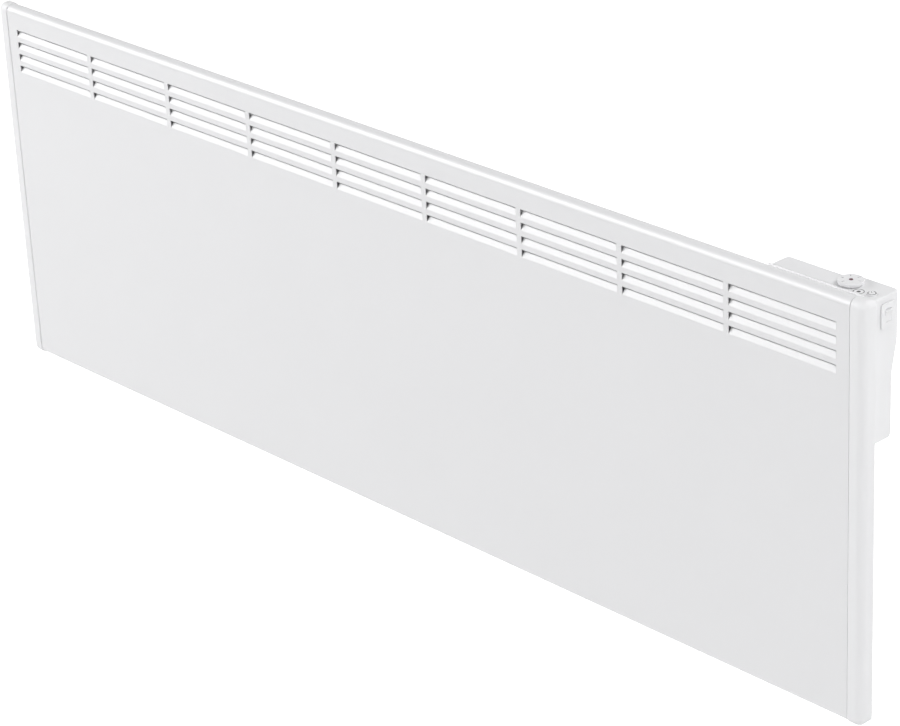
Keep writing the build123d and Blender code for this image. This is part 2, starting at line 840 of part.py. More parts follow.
def box_shell():
    plan, side = box_plan(), box_side()
    body = prism_z(plan, (box_bottom, box_top)) & prism_x(side, (box_left, box_right))
    top_edges = body.faces().sort_by(Axis.Z)[-1].edges()
    body = fillet([e for e in top_edges if e.center().Y > box_front_y + cut_over], box_top_radius)
    hollow = prism_z(offset(plan, -box_wall), (box_floor, box_ceiling))
    hollow &= prism_x(offset(side, -box_wall), (box_left, box_right))
    mouth_depth = box_front_y - cut_over, box_front_y + box_wall + cut_over
    mouth = block((box_left + box_wall, box_right - box_wall), mouth_depth, (box_floor, box_ceiling))
    return body - hollow - mouth


def box_top_openings():
    """For the thermostat's bushing, the indicator, its sunk ring and the round key."""
    through = box_ceiling - cut_over, box_top + cut_over
    ring = Circle(indicator_ring_radius) - Circle(indicator_ring_radius - indicator_ring_width)
    return [rod_z(dial_x, dial_y, through, bushing_radius + bushing_clearance),
            rod_z(indicator_x, indicator_y, through, indicator_radius + lens_fit),
            prism_z(Pos(indicator_x, indicator_y) * ring, (box_top - indicator_ring_depth, box_top + cut_over)),
            rod_z(button_x, button_y, through, button_radius + button_gap)]


def box_side_openings():
    """For the rocker switch and for the leads' grommet."""
    switch_wall_ends = box_right - box_wall - cut_over, box_right + cut_over
    grommet_wall_ends = box_left - cut_over, box_left + box_wall + cut_over
    return [block(switch_wall_ends, around(switch_y, switch_body_width + 2 * switch_hole_gap),
                  around(switch_z, switch_body_height + 2 * switch_hole_gap)),
            rod_x(grommet_wall_ends, lead_y, grommet_z, grommet_radius + grommet_fit)]


def box_floor_openings():
    """For the supply cord's inlet, and vents for the room sensor."""
    through = box_bottom - cut_over, box_floor + cut_over
    xs = [vent_x + vent_pitch * (n - (vent_count - 1) / 2) for n in range(vent_count)]
    vents = [block(around(x, vent_width), around(inlet_y, vent_length), through) for x in xs]
    return vents + [rod_z(inlet_x, inlet_y, through, inlet_radius + inlet_fit)]


def sensor_cradle():
    """Two ribs on the box's floor that hold the room sensor upright."""
    ys = around(inlet_y, 2 * (sensor_radius + sensor_gap) + rib_thickness)
    height = box_floor - box_wall / 2, box_floor + cradle_height
    return [block(around(sensor_x, rib_thickness), around(y, rib_thickness), height) for y in ys]


def control_housing():
    body = box_shell() + [box_post(x, z) for x, z in box_screw_places()]
    body += [control_post(x, y) for x, y in control_post_places()]
    body += sensor_cradle()
    return body - box_top_openings() - box_side_openings() - box_floor_openings()


def control_lid():
    """The box's front cover, with four standoffs for the power board."""
    inset = box_wall + lid_gap
    thickness = box_front_y, lid_rear_y
    lid = block((box_left + inset, box_right - inset), thickness, (box_bottom + inset, box_top - inset))
    lid += [rod_y(x, (lid_rear_y, power_board_front), z, standoff_radius) for x, z in power_board_screw_places()]
    bore = box_front_y + cut_over, power_board_front
    lid -= holes_y(power_board_screw_places(), bore, board_screw_radius + screw_fit)
    return lid - holes_y(box_screw_places(), thickness, screw_radius + screw_clearance)


def control_screws():
    piece = screw(casing_sheet + lid_thickness + post_bore - screw_tail)
    return [driven_back(x, tray_rear_y, z, piece) for x, z in box_screw_places()]


# ---- boards -------------------------------------------------------------------------------
def power_board_screw_places():
    xs = power_board_x + board_inset, power_board_x + power_board_length - board_inset
    zs = power_board_z + board_inset, power_board_z + power_board_height - board_inset
    return [(x, z) for x in xs for z in zs]


def power_board():
    thickness = power_board_front, power_board_rear
    board = block((power_board_x, power_board_x + power_board_length), thickness,
                  (power_board_z, power_board_z + power_board_height))
    return board - holes_y(power_board_screw_places(), thickness, board_screw_radius + board_hole_gap)


def on_power_board(size, place, lift=0.0):
    """Box-shaped component, lift above the power board."""
    x, z, y = power_board_x + place[0], power_board_z + place[1], power_board_rear + lift
    return block((x, x + size[0]), (y, y + size[1]), (z, z + size[2]))


def power_relay():
    relay = on_power_board(relay_size, relay_place)
    return fillet(relay.edges().group_by(Axis.Y)[-1], component_round)


def power_transformer():
    return on_power_board(bobbin_size, bobbin_place) + on_power_board(core_size, core_place, core_lift)


def board_capacitor():
    x, z = power_board_x + can_place[0], power_board_z + can_place[1]
    can = rod_y(x, (power_board_rear, power_board_rear + can_height), z, can_radius)
    return fillet(can.edges().group_by(Axis.Y)[-1], component_round)


def control_board():
    thickness = control_board_bottom, control_board_top
    board = block((control_board_right - control_board_length, control_board_right),
                  (control_board_front, control_board_front + control_board_width), thickness)
    board -= rod_z(dial_x, dial_y, thickness, bushing_radius + bushing_clearance)
    return board - [rod_z(x, y, thickness, board_screw_radius + board_hole_gap) for x, y in control_post_places()]


def board_screws():
    lid_piece = board_screw(board_thickness + power_board_standoff)
    top_piece = Rot(180, 0, 0) * board_screw(board_thickness + box_ceiling - control_board_top - screw_fit)
    screws = [driven_forward(x, power_board_rear, z, lid_piece) for x, z in power_board_screw_places()]
    return screws + [Pos(x, y, control_board_bottom) * top_piece for x, y in control_post_places()]


# ---- thermostat ---------------------------------------------------------------------------
def thermostat_potentiometer():
    body = block(around(dial_x, potentiometer_size), around(dial_y, potentiometer_size),
                 (potentiometer_bottom, control_board_bottom))
    body += rod_z(dial_x, dial_y, (control_board_bottom, box_top - bushing_drop), bushing_radius)
    bore = potentiometer_bottom + potentiometer_floor, box_top
    return body - rod_z(dial_x, dial_y, bore, spindle_radius + spindle_fit)


def thermostat_spindle():
    low = potentiometer_bottom + potentiometer_floor + spindle_end_gap
    return rod_z(dial_x, dial_y, (low, dial_top - dial_skin), spindle_radius)


def thermostat_dial():
    disc = rod_z(dial_x, dial_y, (dial_bottom, dial_top), dial_radius)
    disc = fillet(disc.edges().group_by(Axis.Z)[-1], dial_edge_radius)
    disc -= rod_z(dial_x, dial_y, (dial_bottom, dial_top - dial_skin), spindle_radius + dial_fit)
    return disc - rod_z(dial_x, dial_y, (dial_top - dot_depth, dial_top), dot_radius + dial_fit)


def dial_centre():
    return rod_z(dial_x, dial_y, (dial_top - dot_depth, dial_top + dot_proud), dot_radius)


# ---- indicator and round key --------------------------------------------------------------
def indicator_lens():
    lens = rod_z(indicator_x, indicator_y, (box_ceiling, box_top + lens_proud), indicator_radius)
    flange = box_ceiling - lens_flange, box_ceiling
    return lens + rod_z(indicator_x, indicator_y, flange, indicator_radius + lens_flange_extra)


def indicator_led():
    body = rod_z(indicator_x, indicator_y, (control_board_top, box_ceiling - lens_flange - led_gap), led_radius)
    return fillet(body.edges().group_by(Axis.Z)[-1], led_round)


def setback_button():
    key = rod_z(button_x, button_y, (button_bottom, box_top + button_proud), button_radius)
    key = fillet(key.edges().group_by(Axis.Z)[-1], button_edge_radius)
    flange = button_bottom, button_bottom + button_flange
    return key + rod_z(button_x, button_y, flange, button_radius + button_flange_extra)


def button_switch():
    base = block(around(button_x, key_switch_size), around(button_y, key_switch_size),
                 (control_board_top, control_board_top + key_switch_base))
    plunger = control_board_top + key_switch_base, button_bottom - button_travel - key_gap
    return base + rod_z(button_x, button_y, plunger, key_plunger_radius)


# ---- rocker switch ------------------------------------------------------------------------
def switch_frame():
    outline = Pos(switch_y, switch_z) * RectangleRounded(bezel_width, bezel_height, bezel_corner)
    bezel = prism_x(outline, (box_right, bezel_face_x))
    bezel = fillet(bezel.faces().sort_by(Axis.X)[-1].edges(), bezel_round)
    width, height = around(switch_y, switch_body_width), around(switch_z, switch_body_height)
    frame = bezel + block((switch_back_x, box_right), width, height)
    frame -= block((switch_back_x + switch_floor, bezel_face_x), around(switch_y, 2 * cavity_half_width),
                   around(switch_z, 2 * cavity_half_height))
    return frame - prism_y(Pos(pivot_x, switch_z) * Circle(trunnion_radius + trunnion_fit), width)


def power_rocker():
    """Rocker with its lower half pressed in and its upper half proud."""
    reach = cavity_half_height - rocker_gap
    edge = rocker_valley + reach * math.tan(math.radians(rocker_half_angle))
    face = polygon((-rocker_skirt, -reach), (edge, -reach), (rocker_valley, 0), (edge, reach), (-rocker_skirt, reach))
    body = prism_y(Circle(reach) & face, around(0, 2 * (cavity_half_width - rocker_gap)))
    front_edges = [e for e in body.edges() if e.center().X > rocker_valley - rocker_round]
    body = fillet(front_edges, rocker_round)
    body += prism_y(Circle(trunnion_radius), around(0, switch_body_width - 2 * trunnion_end_gap))
    return Pos(pivot_x, switch_y, switch_z) * Rot(0, rocker_half_angle, 0) * body


def switch_terminals():
    reach = switch_back_x - tab_reach, switch_back_x
    levels = [switch_z + tab_pitch * n for n in (-1, 0, 1)]
    return [block(reach, around(switch_y, tab_width), around(z, tab_thickness)) for z in levels]


# ---- terminal block, sensor and cord inlet ------------------------------------------------
def terminal_block():
    body = block((block_left, block_left + block_length), around(lead_y, block_depth), (box_floor, block_top))
    body = fillet(body.edges().filter_by(Axis.Z), block_round)
    holes = [(x, block_middle) for x in clamp_xs()]
    return body - holes_y(holes, (block_rear_y - clamp_hole_depth, block_rear_y), clamp_hole_radius)


def clamp_screw(x):
    top = block_rear_y - clamp_screw_sink
    body = rod_y(x, (block_rear_y - clamp_hole_depth, top), block_middle, clamp_screw_radius)
    slot_depth = top - clamp_slot_depth, top
    return body - block(around(x, clamp_slot_length), slot_depth, around(block_middle, clamp_slot_width))


def terminal_screws():
    return [clamp_screw(x) for x in clamp_xs()]


def room_sensor():
    low = box_floor + sensor_lift
    return fillet(rod_z(sensor_x, inlet_y, (low, low + sensor_length), sensor_radius).edges(), sensor_round)


def cord_inlet():
    collar = rod_z(inlet_x, inlet_y, (box_bottom - inlet_flange, box_bottom), inlet_flange_radius)
    collar = fillet(collar.edges().group_by(Axis.Z)[0], inlet_round)
    collar += rod_z(inlet_x, inlet_y, (box_bottom, box_bottom + inlet_inside), inlet_radius)
    return collar - rod_z(inlet_x, inlet_y, (box_bottom - inlet_flange, box_bottom + inlet_inside), inlet_bore_radius)


# ---- wall bracket -------------------------------------------------------------------------
def hook_xs():
    reach = upright_width / 2 - bracket_steel / 2
    return [x for side in (-1, 1) for x in around(side * upright_x, 2 * reach)]


def hook_outline(level):
    """Ear up to the casing's back, neck through its slot and finger behind it, in (y, z)."""
    root = bracket_steel - upright_depth
    ear = polygon((root, level + ear_shoulder), (ear_y, level + ear_top), (ear_y, level - ear_drop),
                  (root, level - ear_drop - ear_slope))
    low, top = level - neck_height, level + finger_height
    finger_back = hook_tip_y + finger_depth
    neck = polygon((ear_y, low), (ear_y, level), (hook_tip_y, level), (hook_tip_y, low))
    finger = polygon((hook_tip_y, low), (finger_back, low), (finger_back, top - finger_lead_in),
                     (finger_back - finger_lead_in, top), (hook_tip_y, top))
    return ear + neck + finger


def bracket_upright(side):
    """Folded channel: a web on the wall and two flanges with two hooks each."""
    x = side * upright_x
    height = around(0, upright_height)
    upright = block(around(x, upright_width), (-bracket_steel, 0), height)
    flange = Pos(-upright_depth / 2, 0) * Rectangle(upright_depth, upright_height)
    for level in hook_levels:
        flange += hook_outline(level)
    for centre in around(x, upright_width - bracket_steel):
        upright += prism_x(flange, around(centre, bracket_steel))
    upright -= holes_y([(x, z) for z in around(0, hole_spacing_z)], (-bracket_steel, 0), wall_hole_radius)
    flange_ends = side * (rail_end_x - cut_over), side * (rail_end_x + bracket_steel + cut_over)
    return upright - [rod_x(flange_ends, rivet_y, z, rivet_radius) for z in (rail_z, -rail_z)]


def bracket_rail(z):
    """Flat strip on the wall with an ear at each end, riveted to the uprights."""
    height = around(z, rail_height)
    rail = block((-rail_end_x, rail_end_x), (-bracket_steel, 0), height)
    for side in (-1, 1):
        ends = side * (rail_end_x - bracket_steel), side * rail_end_x
        rail += block(ends, (-bracket_steel - rail_tab, 0), height)
    return rail - rod_x((-rail_end_x, rail_end_x), rivet_y, z, rivet_radius)


def rivet(side, z):
    shank = side * (rail_end_x - bracket_steel), side * (rail_end_x + bracket_steel)
    body = rod_x(shank, rivet_y, z, rivet_radius - rivet_fit)
    for end, outward in zip(shank, (-side, side)):
        body += rod_x((end, end + outward * rivet_head), rivet_y, z, rivet_head_radius)
    return body


def bracket_rivets():
    return [rivet(side, z) for side in (-1, 1) for z in (rail_z, -rail_z)]


# ---- write every sub-part -----------------------------------------------------------------
def main():
    os.makedirs("parts", exist_ok=True)
    save(bracket_upright(-1), "bracket_upright_left")
    save(bracket_upright(1), "bracket_upright_right")
    save(bracket_rail(rail_z), "bracket_rail_upper")
    save(bracket_rail(-rail_z), "bracket_rail_lower")
    save(element_bracket(element_left, -1), "element_bracket_left")
    save(element_bracket(element_right, 1), "element_bracket_right")
    save(end_cap_right(cap_posts_right), "end_cap_right")
    pieces = (
        bracket_rivets, front_panel, end_cap_left, end_cap_screws, rear_casing, casing_screws, heating_element,
        element_rod, element_bushes, element_screws, overheat_cutout, cutout_screws, lead_left, lead_feed, lead_right,
        lead_clips, lead_grommet, control_housing, control_lid, control_screws, power_board, power_relay,
        power_transformer, board_capacitor, board_screws, control_board, thermostat_potentiometer,
        thermostat_spindle, thermostat_dial, dial_centre, indicator_led, indicator_lens, button_switch,
        setback_button, switch_frame, power_rocker, switch_terminals, terminal_block, terminal_screws, room_sensor,
        cord_inlet,
    )
    for piece in pieces:
        save(piece(), piece.__name__)


main()
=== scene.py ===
import json
import math
from functools import cache

import bmesh
import bpy
from bpy.props import FloatProperty, FloatVectorProperty, IntProperty, PointerProperty
from bpy.types import Operator, Panel, PropertyGroup
from mathutils import Matrix, Vector


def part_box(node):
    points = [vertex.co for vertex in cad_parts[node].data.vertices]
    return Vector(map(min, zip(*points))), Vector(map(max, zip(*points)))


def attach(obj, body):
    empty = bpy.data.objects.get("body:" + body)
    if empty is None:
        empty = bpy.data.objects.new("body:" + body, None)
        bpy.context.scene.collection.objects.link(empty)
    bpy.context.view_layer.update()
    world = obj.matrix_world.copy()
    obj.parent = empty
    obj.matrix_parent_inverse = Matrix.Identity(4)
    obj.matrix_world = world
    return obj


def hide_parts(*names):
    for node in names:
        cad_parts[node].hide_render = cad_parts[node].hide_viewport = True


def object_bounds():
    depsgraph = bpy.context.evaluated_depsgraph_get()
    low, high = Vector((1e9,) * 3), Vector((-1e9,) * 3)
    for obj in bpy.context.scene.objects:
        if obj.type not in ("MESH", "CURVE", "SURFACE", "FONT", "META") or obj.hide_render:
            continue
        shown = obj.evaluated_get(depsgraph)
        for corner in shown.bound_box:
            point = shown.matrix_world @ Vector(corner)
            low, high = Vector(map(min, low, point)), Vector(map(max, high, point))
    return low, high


bl_info = {
    "name": "Wall Panel Convector Heater",
    "version": (1, 0, 0),
    "blender": (4, 5, 0),
    "location": "View3D > Sidebar > Heater",
    "description": "Dresses a wall panel convector heater over its CAD frame",
    "category": "Object",
}

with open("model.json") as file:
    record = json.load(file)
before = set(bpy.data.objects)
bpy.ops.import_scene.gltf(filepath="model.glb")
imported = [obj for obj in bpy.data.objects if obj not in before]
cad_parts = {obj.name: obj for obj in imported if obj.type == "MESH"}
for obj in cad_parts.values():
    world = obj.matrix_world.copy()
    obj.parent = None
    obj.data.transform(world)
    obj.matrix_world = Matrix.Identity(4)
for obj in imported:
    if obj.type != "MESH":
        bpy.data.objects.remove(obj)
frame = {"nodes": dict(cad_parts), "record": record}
cad_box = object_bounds()

PANEL_LOW, PANEL_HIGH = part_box("front_panel")
CAP_LOW, CAP_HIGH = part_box("end_cap_right")
DIAL_LOW, DIAL_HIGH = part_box("thermostat_dial")
DOT_LOW, DOT_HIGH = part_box("dial_centre")
KEY_LOW, KEY_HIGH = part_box("setback_button")
LENS_LOW, LENS_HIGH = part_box("indicator_lens")
HOUSING_LOW, HOUSING_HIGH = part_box("control_housing")
BEZEL_LOW, BEZEL_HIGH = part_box("switch_frame")


# ---- settings -----------------------------------------------------------------------------
def length(name, description, default):
    return FloatProperty(name=name, description=description, default=default, unit="LENGTH")


def tint(name, description, default):
    return FloatVectorProperty(name=name, description=description, default=default, subtype="COLOR")


def power(name, description, default):
    return FloatProperty(name=name, description=description, default=default, unit="POWER")


def strength(name, description, default):
    return FloatProperty(name=name, description=description, default=default, min=0.0)


class HeaterPanelSettings(PropertyGroup):
    nose_radius: length("Nose radius", "Rounded top and bottom edges of the front sheet", 0.0073)
    steel: length("Steel", "Thickness of the front sheet", 0.0009)
    return_flange: length("Return flange", "Folded edge behind the top and the bottom", 0.020)
    columns: IntProperty(name="Columns", description="Louvres side by side", default=9, min=1)
    rows: IntProperty(name="Rows", description="Louvres above each other", default=4, min=1)
    slot_length: length("Slot length", "Length of one louvre", 0.1195)
    column_gap: length("Column gap", "Sheet left between two louvres", 0.0058)
    row_pitch: length("Row pitch", "From one row to the next", 0.01306)
    slot_height: length("Slot height", "Height of one louvre's cut", 0.0077)
    first_drop: length("First drop", "Panel top to the upper row", 0.0239)
    blade_lean: length("Blade lean", "How far a blade is pressed in", 0.0033)
    blade_rise: length("Blade rise", "Height of a blade over its bend", 0.00527)
    blade_gap: length("Blade gap", "Blade's side to the sheet beside it", 0.00035)
    bend_radius: length("Bend radius", "Rounding of a blade's bend", 0.0009)


class HeaterCapSettings(PropertyGroup):
    edge_radius: length("Edge radius", "Rounded edges of an end cap", 0.0079)
    rear_radius: length("Rear radius", "Outer rear edge of an end cap", 0.0028)
    seam: length("Seam", "Open joint between the sheet and an end cap", 0.0006)
    lip_radius: length("Lip radius", "Rounding of an end cap's edge at the seam", 0.0013)
    collar: length("Collar", "How far an end cap reaches into the sheet", 0.012)
    collar_gap: length("Collar gap", "Inside of the sheet to the collar", 0.0002)
    collar_wall: length("Collar wall", "Thickness of the collar", 0.0016)
    pocket: length("Pocket", "How far the hollow runs past the seam into an end cap", 0.0022)


class HeaterControlSettings(PropertyGroup):
    dial_undercut: length("Dial undercut", "Height of the dial's sunk foot", 0.0009)
    numeral_height: length("Numeral height", "Size of the dial's numerals", 0.0036)
    numeral_radius: length("Numeral radius", "Dial's middle to its numerals", 0.0078)
    lens_radius: length("Lens radius", "Radius of the indicator's lens", 0.0017)
    ring_radius: length("Ring radius", "Outer radius of the ring around the indicator", 0.005)
    ring_width: length("Ring width", "Width of the ring around the indicator", 0.0008)
    mark_radius: length("Mark radius", "Outer radius of the mark on the round key", 0.0038)
    mark_width: length("Mark width", "Width of the mark's ring", 0.00075)


class HeaterSwitchSettings(PropertyGroup):
    bezel_gap: length("Bezel gap", "Shadow gap behind the switch's bezel", 0.0009)
    opening_width: length("Opening width", "Opening of the bezel, front to back", 0.0081)
    opening_height: length("Opening height", "Opening of the bezel, top to bottom", 0.012)
    opening_depth: length("Opening depth", "How deep the bezel's opening is", 0.0122)
    corner_radius: length("Corner radius", "Rounded corners of the bezel and its opening", 0.0012)
    pivot_depth: length("Pivot depth", "Bezel's face to the rocker's pivot", 0.0028)
    rocker_reach: length("Rocker reach", "From the rocker's middle to either end", 0.0053)
    rocker_valley: length("Rocker valley", "From the rocker's pivot to its face's valley", 0.00275)
    rocker_tip: FloatProperty(name="Rocker tip", default=math.radians(10.0), unit="ROTATION",
                              description="Slope of each half of the rocker, and its tilt at rest")


class HeaterBeadSettings(PropertyGroup):
    front: length("Front", "Bead's face ahead of the control box's front", 0.0006)
    back: length("Back", "Bead's back behind the control box's front", 0.0016)
    foot: length("Foot", "Bead's underside below the control box's top", 0.0006)
    rise: length("Rise", "Bead's top above the control box's top", 0.0018)
    lean: length("Lean", "How far the face leans back at its top", 0.0015)


class HeaterFinishSettings(PropertyGroup):
    panel_white: tint("Panel white", "Powder coat of the front sheet", (0.80, 0.80, 0.81))
    plastic_white: tint("Plastic white", "End caps, control box, dial and switch", (0.85, 0.85, 0.86))
    # painted shade: the inner face of the front sheet is near black, standing in for the shade inside the
    # heater
    inside_grey: tint("Inside grey", "Inner face of the front sheet", (0.03, 0.03, 0.032))
    print_grey: tint("Print grey", "Numerals on the dial", (0.30, 0.30, 0.31))
    # partly the key's own mark, partly painted shade: its dark ring runs along the key top's near rim as that
    # rim's shade
    mark_grey: tint("Mark grey", "Raised mark of the round key", (0.07, 0.07, 0.075))
    # painted shade: the ring round the indicator is dark grey to stand in for the shade of the sunk groove it
    # lies in
    ring_grey: tint("Ring grey", "Ring around the indicator", (0.2, 0.2, 0.205))
    dot_red: tint("Dot red", "Centre of the dial", (0.075, 0.008, 0.02))


class HeaterStudioSettings(PropertyGroup):
    fill_level: strength("Fill level", "Even light from all round", 0.09)
    left_lamp: power("Left lamp", "Softbox in front on the left", 114.0)
    high_lamp: power("High lamp", "Softbox above on the left", 32.0)
    right_lamp: power("Right lamp", "Softbox in front on the right", 64.0)
    top_lamp: power("Top lamp", "Softbox above on the right", 71.0)
    rear_lamp: power("Rear lamp", "Softbox behind", 69.0)
    floor_drop: length("Floor drop", "From the heater's bottom to the floor", 0.55)
    floor_radius: length("Floor radius", "Radius of the floor", 14.0)
    floor_glow: strength("Floor glow", "White added to the floor as the camera sees it", 0.78)
    floor_glow_mirrored: strength("Mirrored floor glow", "White added to the floor in reflections", 0.4)


# ---- hand tools ---------------------------------------------------------------------------
def take(piece):
    """Select one object and nothing else."""
    bpy.ops.object.select_all(action="DESELECT")
    piece.select_set(True)
    bpy.context.view_layer.objects.active = piece


def named(name):
    """Name the primitive just added and put its place into its mesh."""
    piece = bpy.context.active_object
    piece.name = piece.data.name = name
    take(piece)
    bpy.ops.object.transform_apply(location=True, rotation=True, scale=True)
    return piece


def add_block(name, low, high):
    bpy.ops.object.select_all(action="DESELECT")
    centre = [(a + b) / 2 for a, b in zip(low, high)]
    bpy.ops.mesh.primitive_cube_add(size=1, location=centre)
    bpy.context.active_object.scale = [b - a for a, b in zip(low, high)]
    return named(name)


def add_disc(name, x, y, z_ends, radius, sides=96):
    bpy.ops.object.select_all(action="DESELECT")
    bpy.ops.mesh.primitive_cylinder_add(vertices=sides, radius=radius, depth=z_ends[1] - z_ends[0],
                                        location=(x, y, sum(z_ends) / 2))
    return named(name)


def edit(piece):
    take(piece)
    bpy.ops.object.mode_set(mode="EDIT")
    bpy.ops.mesh.select_mode(type="FACE")


def done():
    bpy.ops.object.mode_set(mode="OBJECT")


def push(way):
    """Extrude the selected face along a way."""
    bpy.ops.mesh.extrude_region_move(TRANSFORM_OT_translate={"value": way})


def pick(kind, test):
    """In edit mode, select the faces, edges or vertices that pass a test."""
    bpy.ops.mesh.select_mode(type=kind)
    bpy.ops.mesh.select_all(action="DESELECT")
    mesh = bpy.context.edit_object.data
    parts = bmesh.from_edit_mesh(mesh)
    group = {"FACE": parts.faces, "EDGE": parts.edges, "VERT": parts.verts}[kind]
    chosen = [part for part in group if test(part)]
    for part in chosen:
        part.select_set(True)
    parts.select_flush_mode()
    bmesh.update_edit_mesh(mesh)
    if not chosen:
        raise RuntimeError(f"nothing to pick on {bpy.context.edit_object.name}")


def middle(part):
    """Middle of an edge or face."""
    total = Vector()
    for vert in part.verts:
        total += vert.co
    return total / len(part.verts)


def faces_up(face):
    return face.normal.z > 0.9


def faces_down(face):
    return face.normal.z < -0.9


def disc_place(low, high):
    """Middle and radius of the disc that fills a box."""
    return (low.x + high.x) / 2, (low.y + high.y) / 2, (high.x - low.x) / 2


def near(a, b, reach=1e-5):
    return abs(a - b) < reach


def runs_along(edge, axis):
    way = edge.verts[1].co - edge.verts[0].co
    return abs(way[axis]) > 0.999 * way.length


def apply(piece, kind, **settings):
    """Add a modifier, set it and apply it."""
    modifier = piece.modifiers.new(kind.title(), kind)
    for name, value in settings.items():
        setattr(modifier, name, value)
    take(piece)
    bpy.ops.object.modifier_apply(modifier=modifier.name)


def soften(piece, width, angle=50.0, segments=2):
    """Small rounded edges, and smooth shading that leaves flat faces flat."""
    apply(piece, "BEVEL", width=width, segments=segments, limit_method="ANGLE",
          angle_limit=math.radians(angle))
    shade(piece)


def shade(piece, angle=40.0):
    take(piece)
    bpy.ops.object.shade_smooth_by_angle(angle=math.radians(angle))
    apply(piece, "WEIGHTED_NORMAL", mode="FACE_AREA", weight=50, keep_sharp=True)


def copy_of(piece, name):
    """A copy with its own mesh."""
    take(piece)
    bpy.ops.object.duplicate(linked=False)
    twin = bpy.context.active_object
    twin.name = twin.data.name = name
    return twin


def fit_out(piece, body, slot, *materials, stands_for=()):
    """Give a finished piece its materials, its body and the nodes it stands for."""
    piece.data.materials.clear()
    for material in materials:
        piece.data.materials.append(material)
    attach(piece, body)
    if stands_for:
        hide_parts(*stands_for)


# ---- finishes -----------------------------------------------------------------------------
def new_material(name):
    """A material with its shader, and its nodes and links to build on."""
    material = bpy.data.materials.new(name)
    material.use_nodes = True
    nodes, links = material.node_tree.nodes, material.node_tree.links
    return material, nodes, links, nodes["Principled BSDF"]


def object_noise(nodes, links, scale, detail=2.0, stretch=(1.0, 1.0, 1.0)):
    """Noise on the piece's own coordinates, in grains per metre."""
    place = nodes.new("ShaderNodeTexCoord")
    mapping = nodes.new("ShaderNodeMapping")
    mapping.inputs["Scale"].default_value = stretch
    noise = nodes.new("ShaderNodeTexNoise")
    noise.inputs["Scale"].default_value = scale
    noise.inputs["Detail"].default_value = detail
    links.new(place.outputs["Object"], mapping.inputs["Vector"])
    links.new(mapping.outputs["Vector"], noise.inputs["Vector"])
    return noise


def vary_colour(nodes, links, shader, factor, colour, spread):
    """Base colour that drifts a little around its middle value."""
    mix = nodes.new("ShaderNodeMix")
    mix.data_type = "RGBA"
    dark = [c * (1 - spread) for c in colour[:3]] + [1]
    light = [min(1.0, c * (1 + spread)) for c in colour[:3]] + [1]
    mix.inputs["A"].default_value = dark
    mix.inputs["B"].default_value = light
    links.new(factor, mix.inputs["Factor"])
    links.new(mix.outputs["Result"], shader.inputs["Base Color"])


def vary_roughness(nodes, links, shader, factor, low, high):
    span = nodes.new("ShaderNodeMapRange")
    span.inputs["To Min"].default_value = low
    span.inputs["To Max"].default_value = high
    links.new(factor, span.inputs["Value"])
    links.new(span.outputs["Result"], shader.inputs["Roughness"])


def add_bump(nodes, links, shader, height, depth):
    bump = nodes.new("ShaderNodeBump")
    bump.inputs["Strength"].default_value = 1.0
    bump.inputs["Distance"].default_value = depth
    links.new(height, bump.inputs["Height"])
    links.new(bump.outputs["Normal"], shader.inputs["Normal"])


def powder_coat(name, colour, roughness=0.34, peel=700.0, depth=0.000012):
    """Satin powder coat: a fine orange peel, slight drifts of colour and sheen."""
    material, nodes, links, shader = new_material(name)
    peel_noise = object_noise(nodes, links, peel, detail=1.0)
    drift = object_noise(nodes, links, 9.0, detail=3.0)
    vary_colour(nodes, links, shader, drift.outputs["Fac"], colour, spread=0.012)
    vary_roughness(nodes, links, shader, drift.outputs["Fac"], roughness - 0.05, roughness + 0.05)
    add_bump(nodes, links, shader, peel_noise.outputs["Fac"], depth)
    shader.inputs["Coat Weight"].default_value = 0.3
    shader.inputs["Coat Roughness"].default_value = 0.2
    return material


def moulded_plastic(name, colour, roughness=0.48, grain=2600.0, depth=0.000008, spread=0.012):
    """Injection-moulded plastic with a fine spark texture."""
    material, nodes, links, shader = new_material(name)
    spark = object_noise(nodes, links, grain)
    flow = object_noise(nodes, links, 24.0)
    vary_colour(nodes, links, shader, flow.outputs["Fac"], colour, spread)
    vary_roughness(nodes, links, shader, flow.outputs["Fac"], roughness - 0.04, roughness + 0.06)
    add_bump(nodes, links, shader, spark.outputs["Fac"], depth)
    return material


def spangled_zinc(name, colour=(0.56, 0.57, 0.58), roughness=0.36, spangle=140.0):
    """Galvanised sheet steel with its crystal pattern."""
    material, nodes, links, shader = new_material(name)
    place = nodes.new("ShaderNodeTexCoord")
    cells = nodes.new("ShaderNodeTexVoronoi")
    cells.inputs["Scale"].default_value = spangle
    links.new(place.outputs["Object"], cells.inputs["Vector"])
    grey = nodes.new("ShaderNodeSeparateColor")
    links.new(cells.outputs["Color"], grey.inputs["Color"])
    vary_colour(nodes, links, shader, grey.outputs["Red"], colour, spread=0.11)
    vary_roughness(nodes, links, shader, grey.outputs["Green"], roughness - 0.07, roughness + 0.1)
    fine = object_noise(nodes, links, 1500.0)
    add_bump(nodes, links, shader, fine.outputs["Fac"], depth=0.000004)
    shader.inputs["Metallic"].default_value = 1.0
    return material


def plated_metal(name, colour, roughness=0.3, brush=(1.0, 1.0, 1.0), scale=900.0, spread=0.06):
    """Plated, turned or extruded metal, with marks along the way it was worked."""
    material, nodes, links, shader = new_material(name)
    marks = object_noise(nodes, links, scale, detail=3.0, stretch=brush)
    vary_colour(nodes, links, shader, marks.outputs["Fac"], colour, spread)
    vary_roughness(nodes, links, shader, marks.outputs["Fac"], roughness - 0.06, roughness + 0.1)
    add_bump(nodes, links, shader, marks.outputs["Fac"], depth=0.000003)
    shader.inputs["Metallic"].default_value = 1.0
    return material


def printed_ink(name, colour):
    """Pad-printed marks: matt, with a slightly broken cover."""
    material, nodes, links, shader = new_material(name)
    cover = object_noise(nodes, links, 5200.0)
    vary_colour(nodes, links, shader, cover.outputs["Fac"], colour, spread=0.14)
    vary_roughness(nodes, links, shader, cover.outputs["Fac"], low=0.5, high=0.66)
    return material


